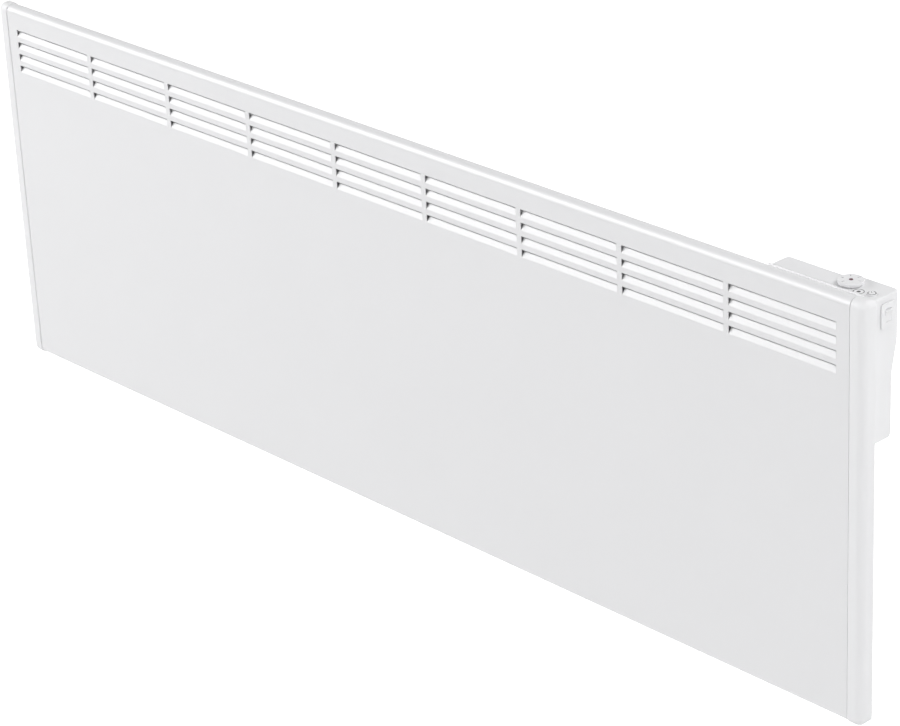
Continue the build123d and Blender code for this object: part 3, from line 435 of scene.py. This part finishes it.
def clear_lens(name, colour, roughness=0.12):
    """Smoked lens over an unlit lamp."""
    material, nodes, links, shader = new_material(name)
    cloud = object_noise(nodes, links, 900.0)
    vary_colour(nodes, links, shader, cloud.outputs["Fac"], colour, spread=0.1)
    vary_roughness(nodes, links, shader, cloud.outputs["Fac"], roughness - 0.03, roughness + 0.05)
    shader.inputs["Coat Weight"].default_value = 0.6
    shader.inputs["Coat Roughness"].default_value = 0.06
    return material


def finishes(look):
    """The finish of each material slot of the record, and of four looks that share a slot."""
    white = tuple(look.plastic_white)
    return {
        "panel_paint": lambda: powder_coat("powder_coat_panel", look.panel_white),
        # painted shade: a bare-steel pattern in a near-black colour that stands in for the shade inside the
        # heater
        "panel_inside_shade": lambda: spangled_zinc("bare_steel_inside", look.inside_grey, roughness=0.55,
                                              spangle=160.0),
        "casing_paint": lambda: powder_coat("powder_coat_casing", (0.74, 0.745, 0.755), roughness=0.5,
                                            peel=620.0, depth=0.000016),
        "bracket_zinc": lambda: spangled_zinc("galvanised_bracket"),
        "inner_steel": lambda: spangled_zinc("galvanised_inner_steel", (0.58, 0.59, 0.6), roughness=0.34,
                                             spangle=190.0),
        "zinc_screw": lambda: plated_metal("zinc_plated_screw", (0.62, 0.62, 0.63), roughness=0.28),
        "element_aluminium": lambda: plated_metal("extruded_aluminium", (0.66, 0.66, 0.67), roughness=0.34,
                                                  brush=(0.04, 1.0, 1.0)),
        "element_steel": lambda: plated_metal("sheathed_rod_steel", (0.42, 0.41, 0.40), roughness=0.36,
                                              brush=(0.05, 1.0, 1.0)),
        "transformer_core": lambda: plated_metal("laminated_core", (0.50, 0.36, 0.10), roughness=0.5,
                                                 brush=(1.0, 1.0, 9.0), scale=500.0, spread=0.18),
        "potentiometer_body": lambda: plated_metal("pressed_steel_can", (0.5, 0.5, 0.52), roughness=0.36),
        "terminal_metal": lambda: plated_metal("brass_terminal", (0.62, 0.46, 0.2)),
        "cap_plastic": lambda: moulded_plastic("moulded_cap", white),
        "box_plastic": lambda: moulded_plastic("moulded_box", white, roughness=0.52),
        "lid_plastic": lambda: moulded_plastic("moulded_lid", (0.66, 0.66, 0.67), roughness=0.55),
        "dial_plastic": lambda: moulded_plastic("moulded_dial", white, roughness=0.44),
        "button_plastic": lambda: moulded_plastic("moulded_key", white, roughness=0.44),
        "switch_plastic": lambda: moulded_plastic("moulded_switch", white, roughness=0.4),
        "inlet_plastic": lambda: moulded_plastic("moulded_inlet", (0.74, 0.74, 0.75), roughness=0.5),
        "spindle_plastic": lambda: moulded_plastic("acetal_spindle", (0.55, 0.55, 0.54), roughness=0.4),
        "terminal_plastic": lambda: moulded_plastic("terminal_nylon", (0.74, 0.74, 0.70), roughness=0.5,
                                                    grain=1800.0, depth=0.00001, spread=0.02),
        "clip_plastic": lambda: moulded_plastic("natural_nylon", (0.72, 0.72, 0.67), roughness=0.42,
                                                grain=1400.0, spread=0.03),
        "ceramic": lambda: moulded_plastic("glazed_ceramic", (0.78, 0.74, 0.62), roughness=0.25, grain=900.0,
                                           depth=0.00001, spread=0.03),
        "cutout_phenolic": lambda: moulded_plastic("phenolic_moulding", (0.02, 0.016, 0.014), roughness=0.42,
                                                   grain=1800.0, depth=0.00001, spread=0.2),
        "lead_brown": lambda: moulded_plastic("lead_sleeve_brown", (0.12, 0.04, 0.018), roughness=0.4,
                                              grain=1600.0, depth=0.000006, spread=0.08),
        "lead_blue": lambda: moulded_plastic("lead_sleeve_blue", (0.02, 0.07, 0.30), roughness=0.4,
                                             grain=1600.0, depth=0.000006, spread=0.08),
        "grommet_rubber": lambda: moulded_plastic("grommet_rubber", (0.018, 0.018, 0.018), roughness=0.7,
                                                  grain=1900.0, depth=0.000012, spread=0.15),
        "board_green": lambda: moulded_plastic("board_laminate", (0.02, 0.12, 0.035), roughness=0.38,
                                               grain=2400.0, depth=0.000006, spread=0.12),
        "relay_black": lambda: moulded_plastic("relay_cover", (0.012, 0.012, 0.014), roughness=0.45,
                                               grain=2200.0, spread=0.1),
        "capacitor_sleeve": lambda: moulded_plastic("capacitor_sleeve", (0.01, 0.02, 0.07), roughness=0.3,
                                                    grain=1200.0, depth=0.000005, spread=0.1),
        "contact_black": lambda: moulded_plastic("key_switch_body", (0.015, 0.015, 0.015), roughness=0.5,
                                                 grain=2200.0, spread=0.1),
        "sensor_epoxy": lambda: moulded_plastic("sensor_epoxy", (0.02, 0.02, 0.02), roughness=0.3,
                                                grain=1500.0, spread=0.12),
        "dial_red": lambda: moulded_plastic("dial_centre_red", look.dot_red, roughness=0.35, grain=3000.0,
                                            depth=0.000004, spread=0.1),
        "dial_ink": lambda: printed_ink("grey_ink", look.print_grey),
        # the key's mark, whose dark ring along the near rim is also painted shade of that rim
        "key_mark_and_rim_shade": lambda: moulded_plastic("grey_mark", look.mark_grey, roughness=0.5, grain=2400.0,
                                            depth=0.000005, spread=0.1),
        # painted shade of the sunk groove round the indicator
        "indicator_ring": lambda: moulded_plastic("grey_ring", look.ring_grey, roughness=0.5, grain=2400.0,
                                                  depth=0.000005, spread=0.1),
        "lens_dark": lambda: clear_lens("smoked_lens", (0.022, 0.018, 0.018)),
        "led_epoxy": lambda: clear_lens("lamp_epoxy", (0.5, 0.05, 0.05)),
    }


@cache
def finish(slot):
    """The material of a slot, made once."""
    return finishes(bpy.context.scene.heater_finish)[slot]()


# ---- front panel --------------------------------------------------------------------------
class HEATER_OT_front_panel(Operator):
    """Fold the front sheet and press its louvres"""
    bl_idname = "heater.front_panel"
    bl_label = "Front Panel"

    def execute(self, context):
        size = context.scene.heater_panel
        face_y, back_y = PANEL_LOW.y, PANEL_HIGH.y
        sheet = add_block("panel_sheet", PANEL_LOW, PANEL_HIGH)
        edit(sheet)
        pick("FACE", lambda face: abs(face.normal.x) > 0.9)
        bpy.ops.mesh.delete(type="FACE")
        pick("EDGE", lambda edge: runs_along(edge, 0))
        bpy.ops.mesh.bevel(offset=size.nose_radius, segments=10, affect="EDGES")

        for z in (PANEL_HIGH.z - size.return_flange, PANEL_LOW.z + size.return_flange):
            pick("FACE", lambda face: near(middle(face).y, back_y))
            bpy.ops.mesh.bisect(plane_co=(0, 0, z), plane_no=(0, 0, 1))
        pick("FACE", lambda face: near(middle(face).y, back_y)
             and abs(middle(face).z) < PANEL_HIGH.z - size.return_flange)
        bpy.ops.mesh.delete(type="FACE")

        pitch = size.slot_length + size.column_gap
        first = -(size.columns * size.slot_length + (size.columns - 1) * size.column_gap) / 2
        lefts = [first + pitch * n for n in range(size.columns)]
        tops = [PANEL_HIGH.z - size.first_drop - size.row_pitch * n for n in range(size.rows)]
        cuts = [((x, 0, 0), (1, 0, 0)) for left in lefts for x in (left, left + size.slot_length)]
        cuts += [((0, 0, z), (0, 0, 1)) for top in tops for z in (top, top - size.slot_height)]
        for place, way in cuts:
            pick("FACE", lambda face: near(middle(face).y, face_y))
            bpy.ops.mesh.bisect(plane_co=place, plane_no=way)

        def in_column(part):
            """Between a louvre's left end and its right end."""
            return any(left < middle(part).x < left + size.slot_length for left in lefts)

        def is_blade(face):
            """A face of the front that becomes a louvre's blade."""
            point = middle(face)
            in_row = any(top - size.slot_height < point.z < top for top in tops)
            return near(point.y, face_y) and in_column(face) and in_row

        pick("FACE", is_blade)
        bpy.ops.mesh.split()

        def is_tip(vert, side=0):
            """A blade's free corner, on its left (-1), its right (1) or either."""
            faces = [face for face in vert.link_faces if is_blade(face)]
            if len(faces) != 1 or vert.co.z < middle(faces[0]).z:
                return False
            return side == 0 or (vert.co.x - middle(faces[0]).x) * side > 0

        pick("VERT", lambda vert: is_tip(vert, -1))
        bpy.ops.transform.translate(value=(size.blade_gap, 0, 0))
        pick("VERT", lambda vert: is_tip(vert, 1))
        bpy.ops.transform.translate(value=(-size.blade_gap, 0, 0))
        pick("VERT", is_tip)
        bpy.ops.transform.translate(value=(0, size.blade_lean, size.blade_rise - size.slot_height))
        bpy.ops.mesh.select_all(action="SELECT")
        bpy.ops.mesh.remove_doubles(threshold=0.00002)

        def is_bend(edge):
            """A blade's lower edge, where it joins the sheet."""
            point = middle(edge)
            at_foot = any(near(point.z, top - size.slot_height) for top in tops)
            joined = runs_along(edge, 0) and len(edge.link_faces) == 2
            return joined and near(point.y, face_y) and in_column(edge) and at_foot

        pick("EDGE", is_bend)
        bpy.ops.mesh.bevel(offset=size.bend_radius, segments=3, affect="EDGES")
        bpy.ops.mesh.select_all(action="SELECT")
        bpy.ops.mesh.normals_make_consistent(inside=False)
        done()
        # the second material goes on the sheet's inner face: near-black painted shade of the heater's inside
        apply(sheet, "SOLIDIFY", thickness=size.steel, offset=-1.0, use_even_offset=True, material_offset=1)
        soften(sheet, width=0.00022)
        fit_out(sheet, "heater", "panel_paint", finish("panel_paint"), finish("panel_inside_shade"),
                stands_for=("front_panel",))
        return {"FINISHED"}


# ---- end caps -----------------------------------------------------------------------------
EDGE_REACH = 0.0004  # the bevels beside the rear edge move its middle by less than this


class HEATER_OT_end_caps(Operator):
    """Mould the two end caps, each with the collar that plugs into the sheet"""
    bl_idname = "heater.end_caps"
    bl_label = "End Caps"

    def execute(self, context):
        size = context.scene.heater_caps
        sheet = context.scene.heater_panel.steel
        face_x = PANEL_HIGH.x + size.seam
        proud = CAP_HIGH.z - PANEL_HIGH.z

        def is_rear(edge):
            """The upright edge where the cap's outer side meets its back."""
            point = middle(edge)
            return near(point.y, CAP_HIGH.y, EDGE_REACH) and near(point.x, CAP_HIGH.x, EDGE_REACH)

        cap = add_block("cap_shell_right", (face_x, CAP_LOW.y, CAP_LOW.z), CAP_HIGH)
        edit(cap)
        pick("EDGE", lambda edge: (runs_along(edge, 0) or near(middle(edge).x, CAP_HIGH.x))
             and not is_rear(edge))
        bpy.ops.mesh.bevel(offset=size.edge_radius, segments=10, affect="EDGES")
        pick("EDGE", is_rear)
        bpy.ops.mesh.bevel(offset=size.rear_radius, segments=6, affect="EDGES")
        pick("FACE", lambda face: near(middle(face).x, face_x))
        bpy.ops.mesh.bevel(offset=size.lip_radius, segments=4, affect="EDGES")
        pick("FACE", lambda face: near(middle(face).x, face_x))
        bpy.ops.mesh.inset(thickness=proud + sheet + size.collar_gap - size.lip_radius, depth=0)
        push((-size.collar - size.seam, 0, 0))
        bpy.ops.mesh.inset(thickness=size.collar_wall, depth=0)
        push((size.collar + size.pocket, 0, 0))
        done()
        soften(cap, width=0.0003)
        twin = copy_of(cap, "cap_shell_left")
        bpy.ops.transform.resize(value=(-1, 1, 1), center_override=(0, 0, 0))
        bpy.ops.object.transform_apply(location=True, rotation=True, scale=True)
        edit(twin)
        bpy.ops.mesh.select_all(action="SELECT")
        bpy.ops.mesh.normals_make_consistent(inside=False)
        done()
        shade(twin)
        fit_out(cap, "heater", "cap_plastic", finish("cap_plastic"), stands_for=("end_cap_right",))
        fit_out(twin, "heater", "cap_plastic", finish("cap_plastic"), stands_for=("end_cap_left",))
        return {"FINISHED"}


# ---- thermostat dial ----------------------------------------------------------------------
# Width and depth of each ring in the dial's top, from the rim in
DIAL_RINGS = ((0.0009, 0), (0.0003, -0.00012), (0.0068, 0), (0.00025, -0.00015))
FOOT_INSET = 0.0011                       # dial's edge to its sunk foot
NUMERAL_ANGLES = (14, 74, 134, 194, 254)  # degrees around the dial
NUMERAL_DROP = 0.0001                     # dial's top to the plane that the numerals lie in
PRINT_THICKNESS = 0.00002                 # to either side of that plane


def raised_print(name, text, place, turn, height, thickness):
    """Printed text that lies on a surface, turned around Z."""
    bpy.ops.object.select_all(action="DESELECT")
    bpy.ops.object.text_add(location=place, rotation=(0, 0, turn))
    letter = bpy.context.active_object
    letter.data.body = text
    letter.data.size = height
    letter.data.extrude = thickness
    letter.data.align_x = letter.data.align_y = "CENTER"
    take(letter)
    bpy.ops.object.convert(target="MESH")
    piece = named(name)
    edit(piece)
    bpy.ops.mesh.select_all(action="SELECT")
    bpy.ops.mesh.remove_doubles(threshold=0.000001)
    bpy.ops.mesh.normals_make_consistent(inside=False)
    done()
    return piece


class HEATER_OT_thermostat_dial(Operator):
    """Turn the thermostat dial, with its numerals and its red centre"""
    bl_idname = "heater.thermostat_dial"
    bl_label = "Thermostat Dial"

    def execute(self, context):
        size = context.scene.heater_controls
        x, y, radius = disc_place(DIAL_LOW, DIAL_HIGH)
        foot = DIAL_LOW.z + size.dial_undercut
        dial = add_disc("dial_knob", x, y, (foot, DIAL_HIGH.z), radius, sides=128)
        edit(dial)
        pick("FACE", faces_up)
        for width, depth in DIAL_RINGS:
            bpy.ops.mesh.inset(thickness=width, depth=depth)
        pick("FACE", faces_down)
        bpy.ops.mesh.inset(thickness=FOOT_INSET, depth=0)
        push((0, 0, DIAL_LOW.z - foot))
        done()
        soften(dial, width=0.00045, segments=3)
        fit_out(dial, "dial", "dial_plastic", finish("dial_plastic"), stands_for=("thermostat_dial",))

        dot = add_disc("dial_dot", x, y, (DOT_LOW.z, DOT_HIGH.z), disc_place(DOT_LOW, DOT_HIGH)[2], sides=64)
        soften(dot, width=0.00012)
        fit_out(dot, "dial", "dial_red", finish("dial_red"), stands_for=("dial_centre",))

        for count, degrees in enumerate(NUMERAL_ANGLES, start=1):
            angle = math.radians(degrees)
            place = (x + size.numeral_radius * math.cos(angle), y + size.numeral_radius * math.sin(angle),
                     DIAL_HIGH.z - NUMERAL_DROP)
            number = raised_print(f"dial_number_{count}", str(count), place, angle - math.pi / 2,
                                  size.numeral_height, PRINT_THICKNESS)
            fit_out(number, "dial", "dial_plastic", finish("dial_ink"))
        return {"FINISHED"}


# ---- indicator and round key --------------------------------------------------------------
MARK_OPENING = (math.radians(138.0), math.radians(64.0))  # direction and width of the gap in the key's mark
MARK_RELIEF = 0.00006                                     # mark and ring over what carries them
MARK_EDGE = 0.00002                                       # rounding of the mark's and the ring's edges
MARK_SUNK = 0.0001                                        # mark's underside below the key's top
RING_SUNK = 0.0003                                        # ring's underside below the control box's top
STEM_ENDS = (0.0006, 0.0031)                              # from the mark's middle
STEM_HALF_WIDTH = 0.00022
KEY_FLANGE = 0.0008                                       # height of the key's flange
KEY_STEP = 0.0009                                         # width of the step over it
LENS_SUNK = 0.002                                         # lens's foot below the control box's top
LENS_DOME = ((0.0004, 0.00007), (0.0006, 0.00003))        # width and rise, from the edge in


def flat_ring(name, x, y, z_ends, radius, width, opening=None):
    """A flat ring, open over an angle around a direction if one is given."""
    ring = add_disc(name, x, y, z_ends, radius, sides=90)
    edit(ring)
    pick("FACE", lambda face: faces_up(face) or faces_down(face))
    bpy.ops.mesh.inset(thickness=width, depth=0)
    pick("FACE", lambda face: len(face.verts) > 4)
    bpy.ops.mesh.bridge_edge_loops()
    if opening:
        def is_open(face):
            way = middle(face) - Vector((x, y, 0))
            off = (math.atan2(way.y, way.x) - opening[0] + math.pi) % (2 * math.pi) - math.pi
            return abs(off) < opening[1] / 2

        pick("FACE", is_open)
        bpy.ops.mesh.delete(type="FACE")
        bpy.ops.mesh.select_all(action="SELECT")
        bpy.ops.mesh.fill_holes(sides=4)
    bpy.ops.mesh.select_all(action="SELECT")
    bpy.ops.mesh.normals_make_consistent(inside=False)
    done()
    return ring


class HEATER_OT_indicator_and_key(Operator):
    """Dome the indicator's lens and lay its ring, whose dark grey is painted shade of its groove, and finish
    the round key with its raised mark, whose dark arc along the key's rim is also painted shade
    """
    bl_idname = "heater.indicator_and_key"
    bl_label = "Indicator and Round Key"

    def execute(self, context):
        size = context.scene.heater_controls
        seat = HOUSING_HIGH.z
        x, y, _ = disc_place(LENS_LOW, LENS_HIGH)
        dome = sum(rise for _, rise in LENS_DOME)
        lens = add_disc("lens_dome", x, y, (seat - LENS_SUNK, LENS_HIGH.z - dome), size.lens_radius, sides=48)
        edit(lens)
        pick("FACE", faces_up)
        for width, rise in LENS_DOME:
            bpy.ops.mesh.inset(thickness=width, depth=rise)
        done()
        shade(lens)
        fit_out(lens, "heater", "lens_dark", finish("lens_dark"), stands_for=("indicator_lens",))

        # the ring lies in the sunk groove round the indicator; its dark grey is painted shade of that groove
        ring = flat_ring("indicator_ring", x, y, (seat - RING_SUNK, seat + MARK_RELIEF), size.ring_radius,
                         size.ring_width)
        soften(ring, width=MARK_EDGE)
        fit_out(ring, "heater", "lens_dark", finish("indicator_ring"))

        x, y, radius = disc_place(KEY_LOW, KEY_HIGH)
        shoulder, top, mark_top = KEY_LOW.z + KEY_FLANGE, KEY_HIGH.z - MARK_RELIEF, KEY_HIGH.z
        key = add_disc("key_cap", x, y, (KEY_LOW.z, shoulder), radius)
        edit(key)
        pick("FACE", faces_up)
        bpy.ops.mesh.inset(thickness=KEY_STEP, depth=0)
        push((0, 0, top - shoulder))
        done()
        soften(key, width=0.00035, segments=3)
        fit_out(key, "button", "button_plastic", finish("button_plastic"), stands_for=("setback_button",))

        foot = top - MARK_SUNK
        # the mark's ring sits on the key top's rim, open on the side away from the camera: a symbol, and its
        # dark near arc is also painted shade of the rim
        arc = flat_ring("key_mark_ring", x, y, (foot, mark_top), size.mark_radius, size.mark_width,
                        MARK_OPENING)
        soften(arc, width=MARK_EDGE)
        fit_out(arc, "button", "button_plastic", finish("key_mark_and_rim_shade"))
        stem = add_block("key_mark_stem", (STEM_ENDS[0], -STEM_HALF_WIDTH, foot),
                         (STEM_ENDS[1], STEM_HALF_WIDTH, mark_top))
        edit(stem)
        bpy.ops.mesh.select_all(action="SELECT")
        bpy.ops.transform.rotate(value=-MARK_OPENING[0], orient_axis="Z", center_override=(0, 0, 0))
        bpy.ops.transform.translate(value=(x, y, 0))
        done()
        soften(stem, width=MARK_EDGE)
        fit_out(stem, "button", "button_plastic", finish("key_mark_and_rim_shade"))
        return {"FINISHED"}


# ---- rocker switch ------------------------------------------------------------------------
BARREL_INSET = 0.0015      # bezel's edge to the part of it that passes through the box's wall
ROCKER_BACK = 0.0025       # rocker's pivot to its back
ROCKER_SIDE_GAP = 0.0001   # rocker's side to the bezel


class HEATER_OT_rocker_switch(Operator):
    """Mould the switch's bezel with its shadow gap, and the rocker in it"""
    bl_idname = "heater.rocker_switch"
    bl_label = "Rocker Switch"

    def execute(self, context):
        size = context.scene.heater_switch
        gap_x = HOUSING_HIGH.x + size.bezel_gap
        pivot = (BEZEL_LOW + BEZEL_HIGH) / 2
        pivot.x = BEZEL_HIGH.x - size.pivot_depth
        bezel = add_block("switch_bezel", (gap_x, BEZEL_LOW.y, BEZEL_LOW.z), BEZEL_HIGH)
        edit(bezel)
        pick("FACE", lambda face: face.normal.x > 0.9)
        border = (BEZEL_HIGH.y - BEZEL_LOW.y - size.opening_width) / 2
        stretch = size.opening_height / (BEZEL_HIGH.z - BEZEL_LOW.z - 2 * border)
        bpy.ops.mesh.inset(thickness=border, depth=0)
        bpy.ops.transform.resize(value=(1, 1, stretch), center_override=pivot)
        push((-size.opening_depth, 0, 0))
        pick("EDGE", lambda edge: runs_along(edge, 0))
        bpy.ops.mesh.bevel(offset=size.corner_radius, segments=5, affect="EDGES")
        pick("FACE", lambda face: face.normal.x < -0.9 and near(middle(face).x, gap_x))
        bpy.ops.mesh.inset(thickness=BARREL_INSET, depth=0)
        push((BEZEL_LOW.x - gap_x, 0, 0))
        done()
        soften(bezel, width=0.0004, segments=3)
        fit_out(bezel, "heater", "switch_plastic", finish("switch_plastic"), stands_for=("switch_frame",))

        half = size.opening_width / 2 - ROCKER_SIDE_GAP
        rise = size.rocker_reach * math.tan(size.rocker_tip)
        front = pivot.x + size.rocker_valley + rise
        rocker = add_block("rocker_paddle",
                           (pivot.x - ROCKER_BACK, pivot.y - half, pivot.z - size.rocker_reach),
                           (front, pivot.y + half, pivot.z + size.rocker_reach))
        edit(rocker)
        bpy.ops.mesh.select_all(action="SELECT")
        bpy.ops.mesh.bisect(plane_co=pivot, plane_no=(0, 0, 1))
        pick("EDGE", lambda edge: runs_along(edge, 1) and near(middle(edge).x, front)
             and near(middle(edge).z, pivot.z))
        bpy.ops.transform.translate(value=(-rise, 0, 0))
        bpy.ops.mesh.select_all(action="SELECT")
        bpy.ops.transform.rotate(value=-size.rocker_tip, orient_axis="Y", center_override=pivot)
        done()
        soften(rocker, width=0.0003, segments=3)
        fit_out(rocker, "rocker", "switch_plastic", finish("switch_plastic"), stands_for=("power_rocker",))
        return {"FINISHED"}


# ---- control box bead ---------------------------------------------------------------------
class HEATER_OT_box_bead(Operator):
    """Mould the leaning bead along the control box's front top edge"""
    bl_idname = "heater.box_bead"
    bl_label = "Control Box Bead"

    def execute(self, context):
        size = context.scene.heater_bead
        seat = HOUSING_HIGH.z
        low = (HOUSING_LOW.x, HOUSING_LOW.y - size.front, seat - size.foot)
        high = (PANEL_HIGH.x + context.scene.heater_caps.seam, HOUSING_LOW.y + size.back, seat + size.rise)
        bead = add_block("box_front_bead", low, high)
        edit(bead)
        pick("EDGE", lambda edge: runs_along(edge, 0) and near(middle(edge).y, low[1])
             and middle(edge).z > seat)
        bpy.ops.transform.translate(value=(0, size.lean, 0))
        done()
        soften(bead, width=0.0001, angle=40.0)
        fit_out(bead, "heater", "box_plastic", finish("panel_paint"))
        return {"FINISHED"}


# ---- CAD nodes that keep their shape ------------------------------------------------------
class HEATER_OT_carried_parts(Operator):
    """Give every CAD node that keeps its own shape its finish"""
    bl_idname = "heater.carried_parts"
    bl_label = "Casing, Bracket and Inner Parts"

    def execute(self, context):
        slots = {part["node"]: part["material_slot"] for part in frame["record"]["subparts"]}
        for node, piece in frame["nodes"].items():
            for place in range(len(piece.material_slots)):
                piece.material_slots[place].material = finish(slots[node])
        return {"FINISHED"}


# ---- studio -------------------------------------------------------------------------------
LAMP_TARGET = (0.0, -0.07, 0.05)
SOFTBOXES = {  # place, then width and height
    "left": ((-3.1, -3.0, 1.8), (3.2, 2.4)),
    "high": ((-2.7, -2.5, 2.7), (2.6, 2.0)),
    "right": ((3.6, -2.6, 0.9), (2.0, 2.0)),
    "top": ((2.7, 0.4, 3.2), (2.0, 2.0)),
    "rear": ((1.0, 3.6, 1.5), (2.8, 1.6)),
}
FLOOR_GREY = (0.86, 0.86, 0.86)
FILL_TINT = (0.98, 0.99, 1.0, 1)

CAMERA_PLACE = (2.1835, -1.9753, 1.3091)
CAMERA_ANGLES = (47.872, 24.984, -2.807)  # azimuth, elevation and roll in degrees
CAMERA_LENS = 133.03                      # millimetres, on the sensor below
SENSOR_WIDTH = 36.0
CAMERA_SIGHT = 50.0                       # metres, past the far side of the floor


def seen_white(nodes, links, lit, white):
    """White to the camera, in reflections and through glass, and lit otherwise."""
    path = nodes.new("ShaderNodeLightPath")
    direct = nodes.new("ShaderNodeMath")
    direct.operation = "MAXIMUM"
    through = nodes.new("ShaderNodeMath")
    through.operation = "MAXIMUM"
    links.new(path.outputs["Is Camera Ray"], direct.inputs[0])
    links.new(path.outputs["Is Glossy Ray"], direct.inputs[1])
    links.new(direct.outputs[0], through.inputs[0])
    links.new(path.outputs["Is Transmission Ray"], through.inputs[1])
    mix = nodes.new("ShaderNodeMixShader")
    links.new(through.outputs[0], mix.inputs["Fac"])
    links.new(lit, mix.inputs[1])
    links.new(white, mix.inputs[2])
    return mix.outputs[0]


def floor_paint(light):
    """Pale matt floor that keeps its shadows but gets lighter for the camera and for reflections."""
    material, nodes, links, shader = new_material("pale_studio_floor")
    drift = object_noise(nodes, links, 0.8, detail=3.0)
    vary_colour(nodes, links, shader, drift.outputs["Fac"], FLOOR_GREY, spread=0.01)
    shader.inputs["Roughness"].default_value = 0.9
    shader.inputs["Specular IOR Level"].default_value = 0.1
    ray = nodes.new("ShaderNodeLightPath")
    share = nodes.new("ShaderNodeMapRange")
    share.inputs["To Min"].default_value = light.floor_glow_mirrored
    share.inputs["To Max"].default_value = light.floor_glow
    glow = nodes.new("ShaderNodeEmission")
    both = nodes.new("ShaderNodeAddShader")
    links.new(ray.outputs["Is Camera Ray"], share.inputs["Value"])
    links.new(share.outputs["Result"], glow.inputs["Strength"])
    links.new(shader.outputs[0], both.inputs[0])
    links.new(glow.outputs[0], both.inputs[1])
    seen = seen_white(nodes, links, shader.outputs[0], both.outputs[0])
    links.new(seen, nodes["Material Output"].inputs["Surface"])
    return material


def add_softbox(name, place, size, energy):
    """A soft lamp that faces the heater."""
    bpy.ops.object.select_all(action="DESELECT")
    bpy.ops.object.light_add(type="AREA", location=place)
    lamp = bpy.context.active_object
    lamp.name = name
    lamp.data.shape = "RECTANGLE"
    lamp.data.size, lamp.data.size_y = size
    lamp.data.energy = energy
    way = Vector(LAMP_TARGET) - lamp.location
    lamp.rotation_euler = way.to_track_quat("-Z", "Y").to_euler()


def camera_axes(azimuth, elevation, roll):
    """Right, up and backward axes of a camera that looks at the object from an angle."""
    back = Vector((math.sin(azimuth) * math.cos(elevation), -math.cos(azimuth) * math.cos(elevation),
                   math.sin(elevation)))
    level = Vector((0, 0, 1)).cross(back).normalized()
    upright = back.cross(level)
    c, s = math.cos(roll), math.sin(roll)
    return c * level + s * upright, -s * level + c * upright, back


class HEATER_OT_studio(Operator):
    """Lay the floor, set the lamps and place the camera"""
    bl_idname = "heater.studio"
    bl_label = "Studio"

    def execute(self, context):
        light = context.scene.heater_studio
        bpy.ops.object.select_all(action="DESELECT")
        bpy.ops.mesh.primitive_circle_add(vertices=96, radius=light.floor_radius, fill_type="NGON",
                                          location=(0, 0, cad_box[0][2] - light.floor_drop))
        floor = named("studio_floor")
        floor.data.materials.append(floor_paint(light))

        world = bpy.data.worlds.new("studio_world")
        context.scene.world = world
        world.use_nodes = True
        nodes, links = world.node_tree.nodes, world.node_tree.links
        fill = nodes["Background"]
        fill.inputs["Color"].default_value = FILL_TINT
        fill.inputs["Strength"].default_value = light.fill_level
        white = nodes.new("ShaderNodeBackground")
        white.inputs["Color"].default_value = (1, 1, 1, 1)
        seen = seen_white(nodes, links, fill.outputs[0], white.outputs[0])
        links.new(seen, nodes["World Output"].inputs["Surface"])

        for side, (place, size) in SOFTBOXES.items():
            add_softbox(f"softbox_{side}", place, size, getattr(light, f"{side}_lamp"))

        bpy.ops.object.camera_add()
        camera = bpy.context.active_object
        camera.name = "photo_camera"
        axes = camera_axes(*(math.radians(angle) for angle in CAMERA_ANGLES))
        pose = Matrix(axes).transposed().to_4x4()
        pose.translation = CAMERA_PLACE
        camera.matrix_world = pose
        camera.data.lens = CAMERA_LENS
        camera.data.sensor_width = SENSOR_WIDTH
        camera.data.clip_end = CAMERA_SIGHT
        context.scene.camera = camera
        context.scene.view_settings.view_transform = "Standard"
        return {"FINISHED"}


# ---- sidebar and registration -------------------------------------------------------------
OPERATORS = (HEATER_OT_carried_parts, HEATER_OT_front_panel, HEATER_OT_end_caps, HEATER_OT_thermostat_dial,
             HEATER_OT_indicator_and_key, HEATER_OT_rocker_switch, HEATER_OT_box_bead, HEATER_OT_studio)
SETTINGS = {"heater_panel": HeaterPanelSettings, "heater_caps": HeaterCapSettings,
            "heater_controls": HeaterControlSettings, "heater_switch": HeaterSwitchSettings,
            "heater_bead": HeaterBeadSettings, "heater_finish": HeaterFinishSettings,
            "heater_studio": HeaterStudioSettings}


class HEATER_PT_sidebar(Panel):
    """Sizes, colours and steps of the heater"""
    bl_label = "Wall Panel Convector Heater"
    bl_space_type = "VIEW_3D"
    bl_region_type = "UI"
    bl_category = "Heater"

    def draw(self, context):
        for name, group in SETTINGS.items():
            box = self.layout.box()
            for field in group.__annotations__:
                box.prop(getattr(context.scene, name), field)
        for operator in OPERATORS:
            self.layout.operator(operator.bl_idname)


def register():
    for group in SETTINGS.values():
        bpy.utils.register_class(group)
    for name, group in SETTINGS.items():
        setattr(bpy.types.Scene, name, PointerProperty(type=group))
    for kind in OPERATORS + (HEATER_PT_sidebar,):
        bpy.utils.register_class(kind)


def unregister():
    for kind in reversed(OPERATORS + (HEATER_PT_sidebar,)):
        bpy.utils.unregister_class(kind)
    for name in SETTINGS:
        delattr(bpy.types.Scene, name)
    for group in SETTINGS.values():
        bpy.utils.unregister_class(group)


def main():
    register()
    bpy.ops.heater.carried_parts()
    bpy.ops.heater.front_panel()
    bpy.ops.heater.end_caps()
    bpy.ops.heater.thermostat_dial()
    bpy.ops.heater.indicator_and_key()
    bpy.ops.heater.rocker_switch()
    bpy.ops.heater.box_bead()
    bpy.ops.heater.studio()


if __name__ == "__main__":
    main()
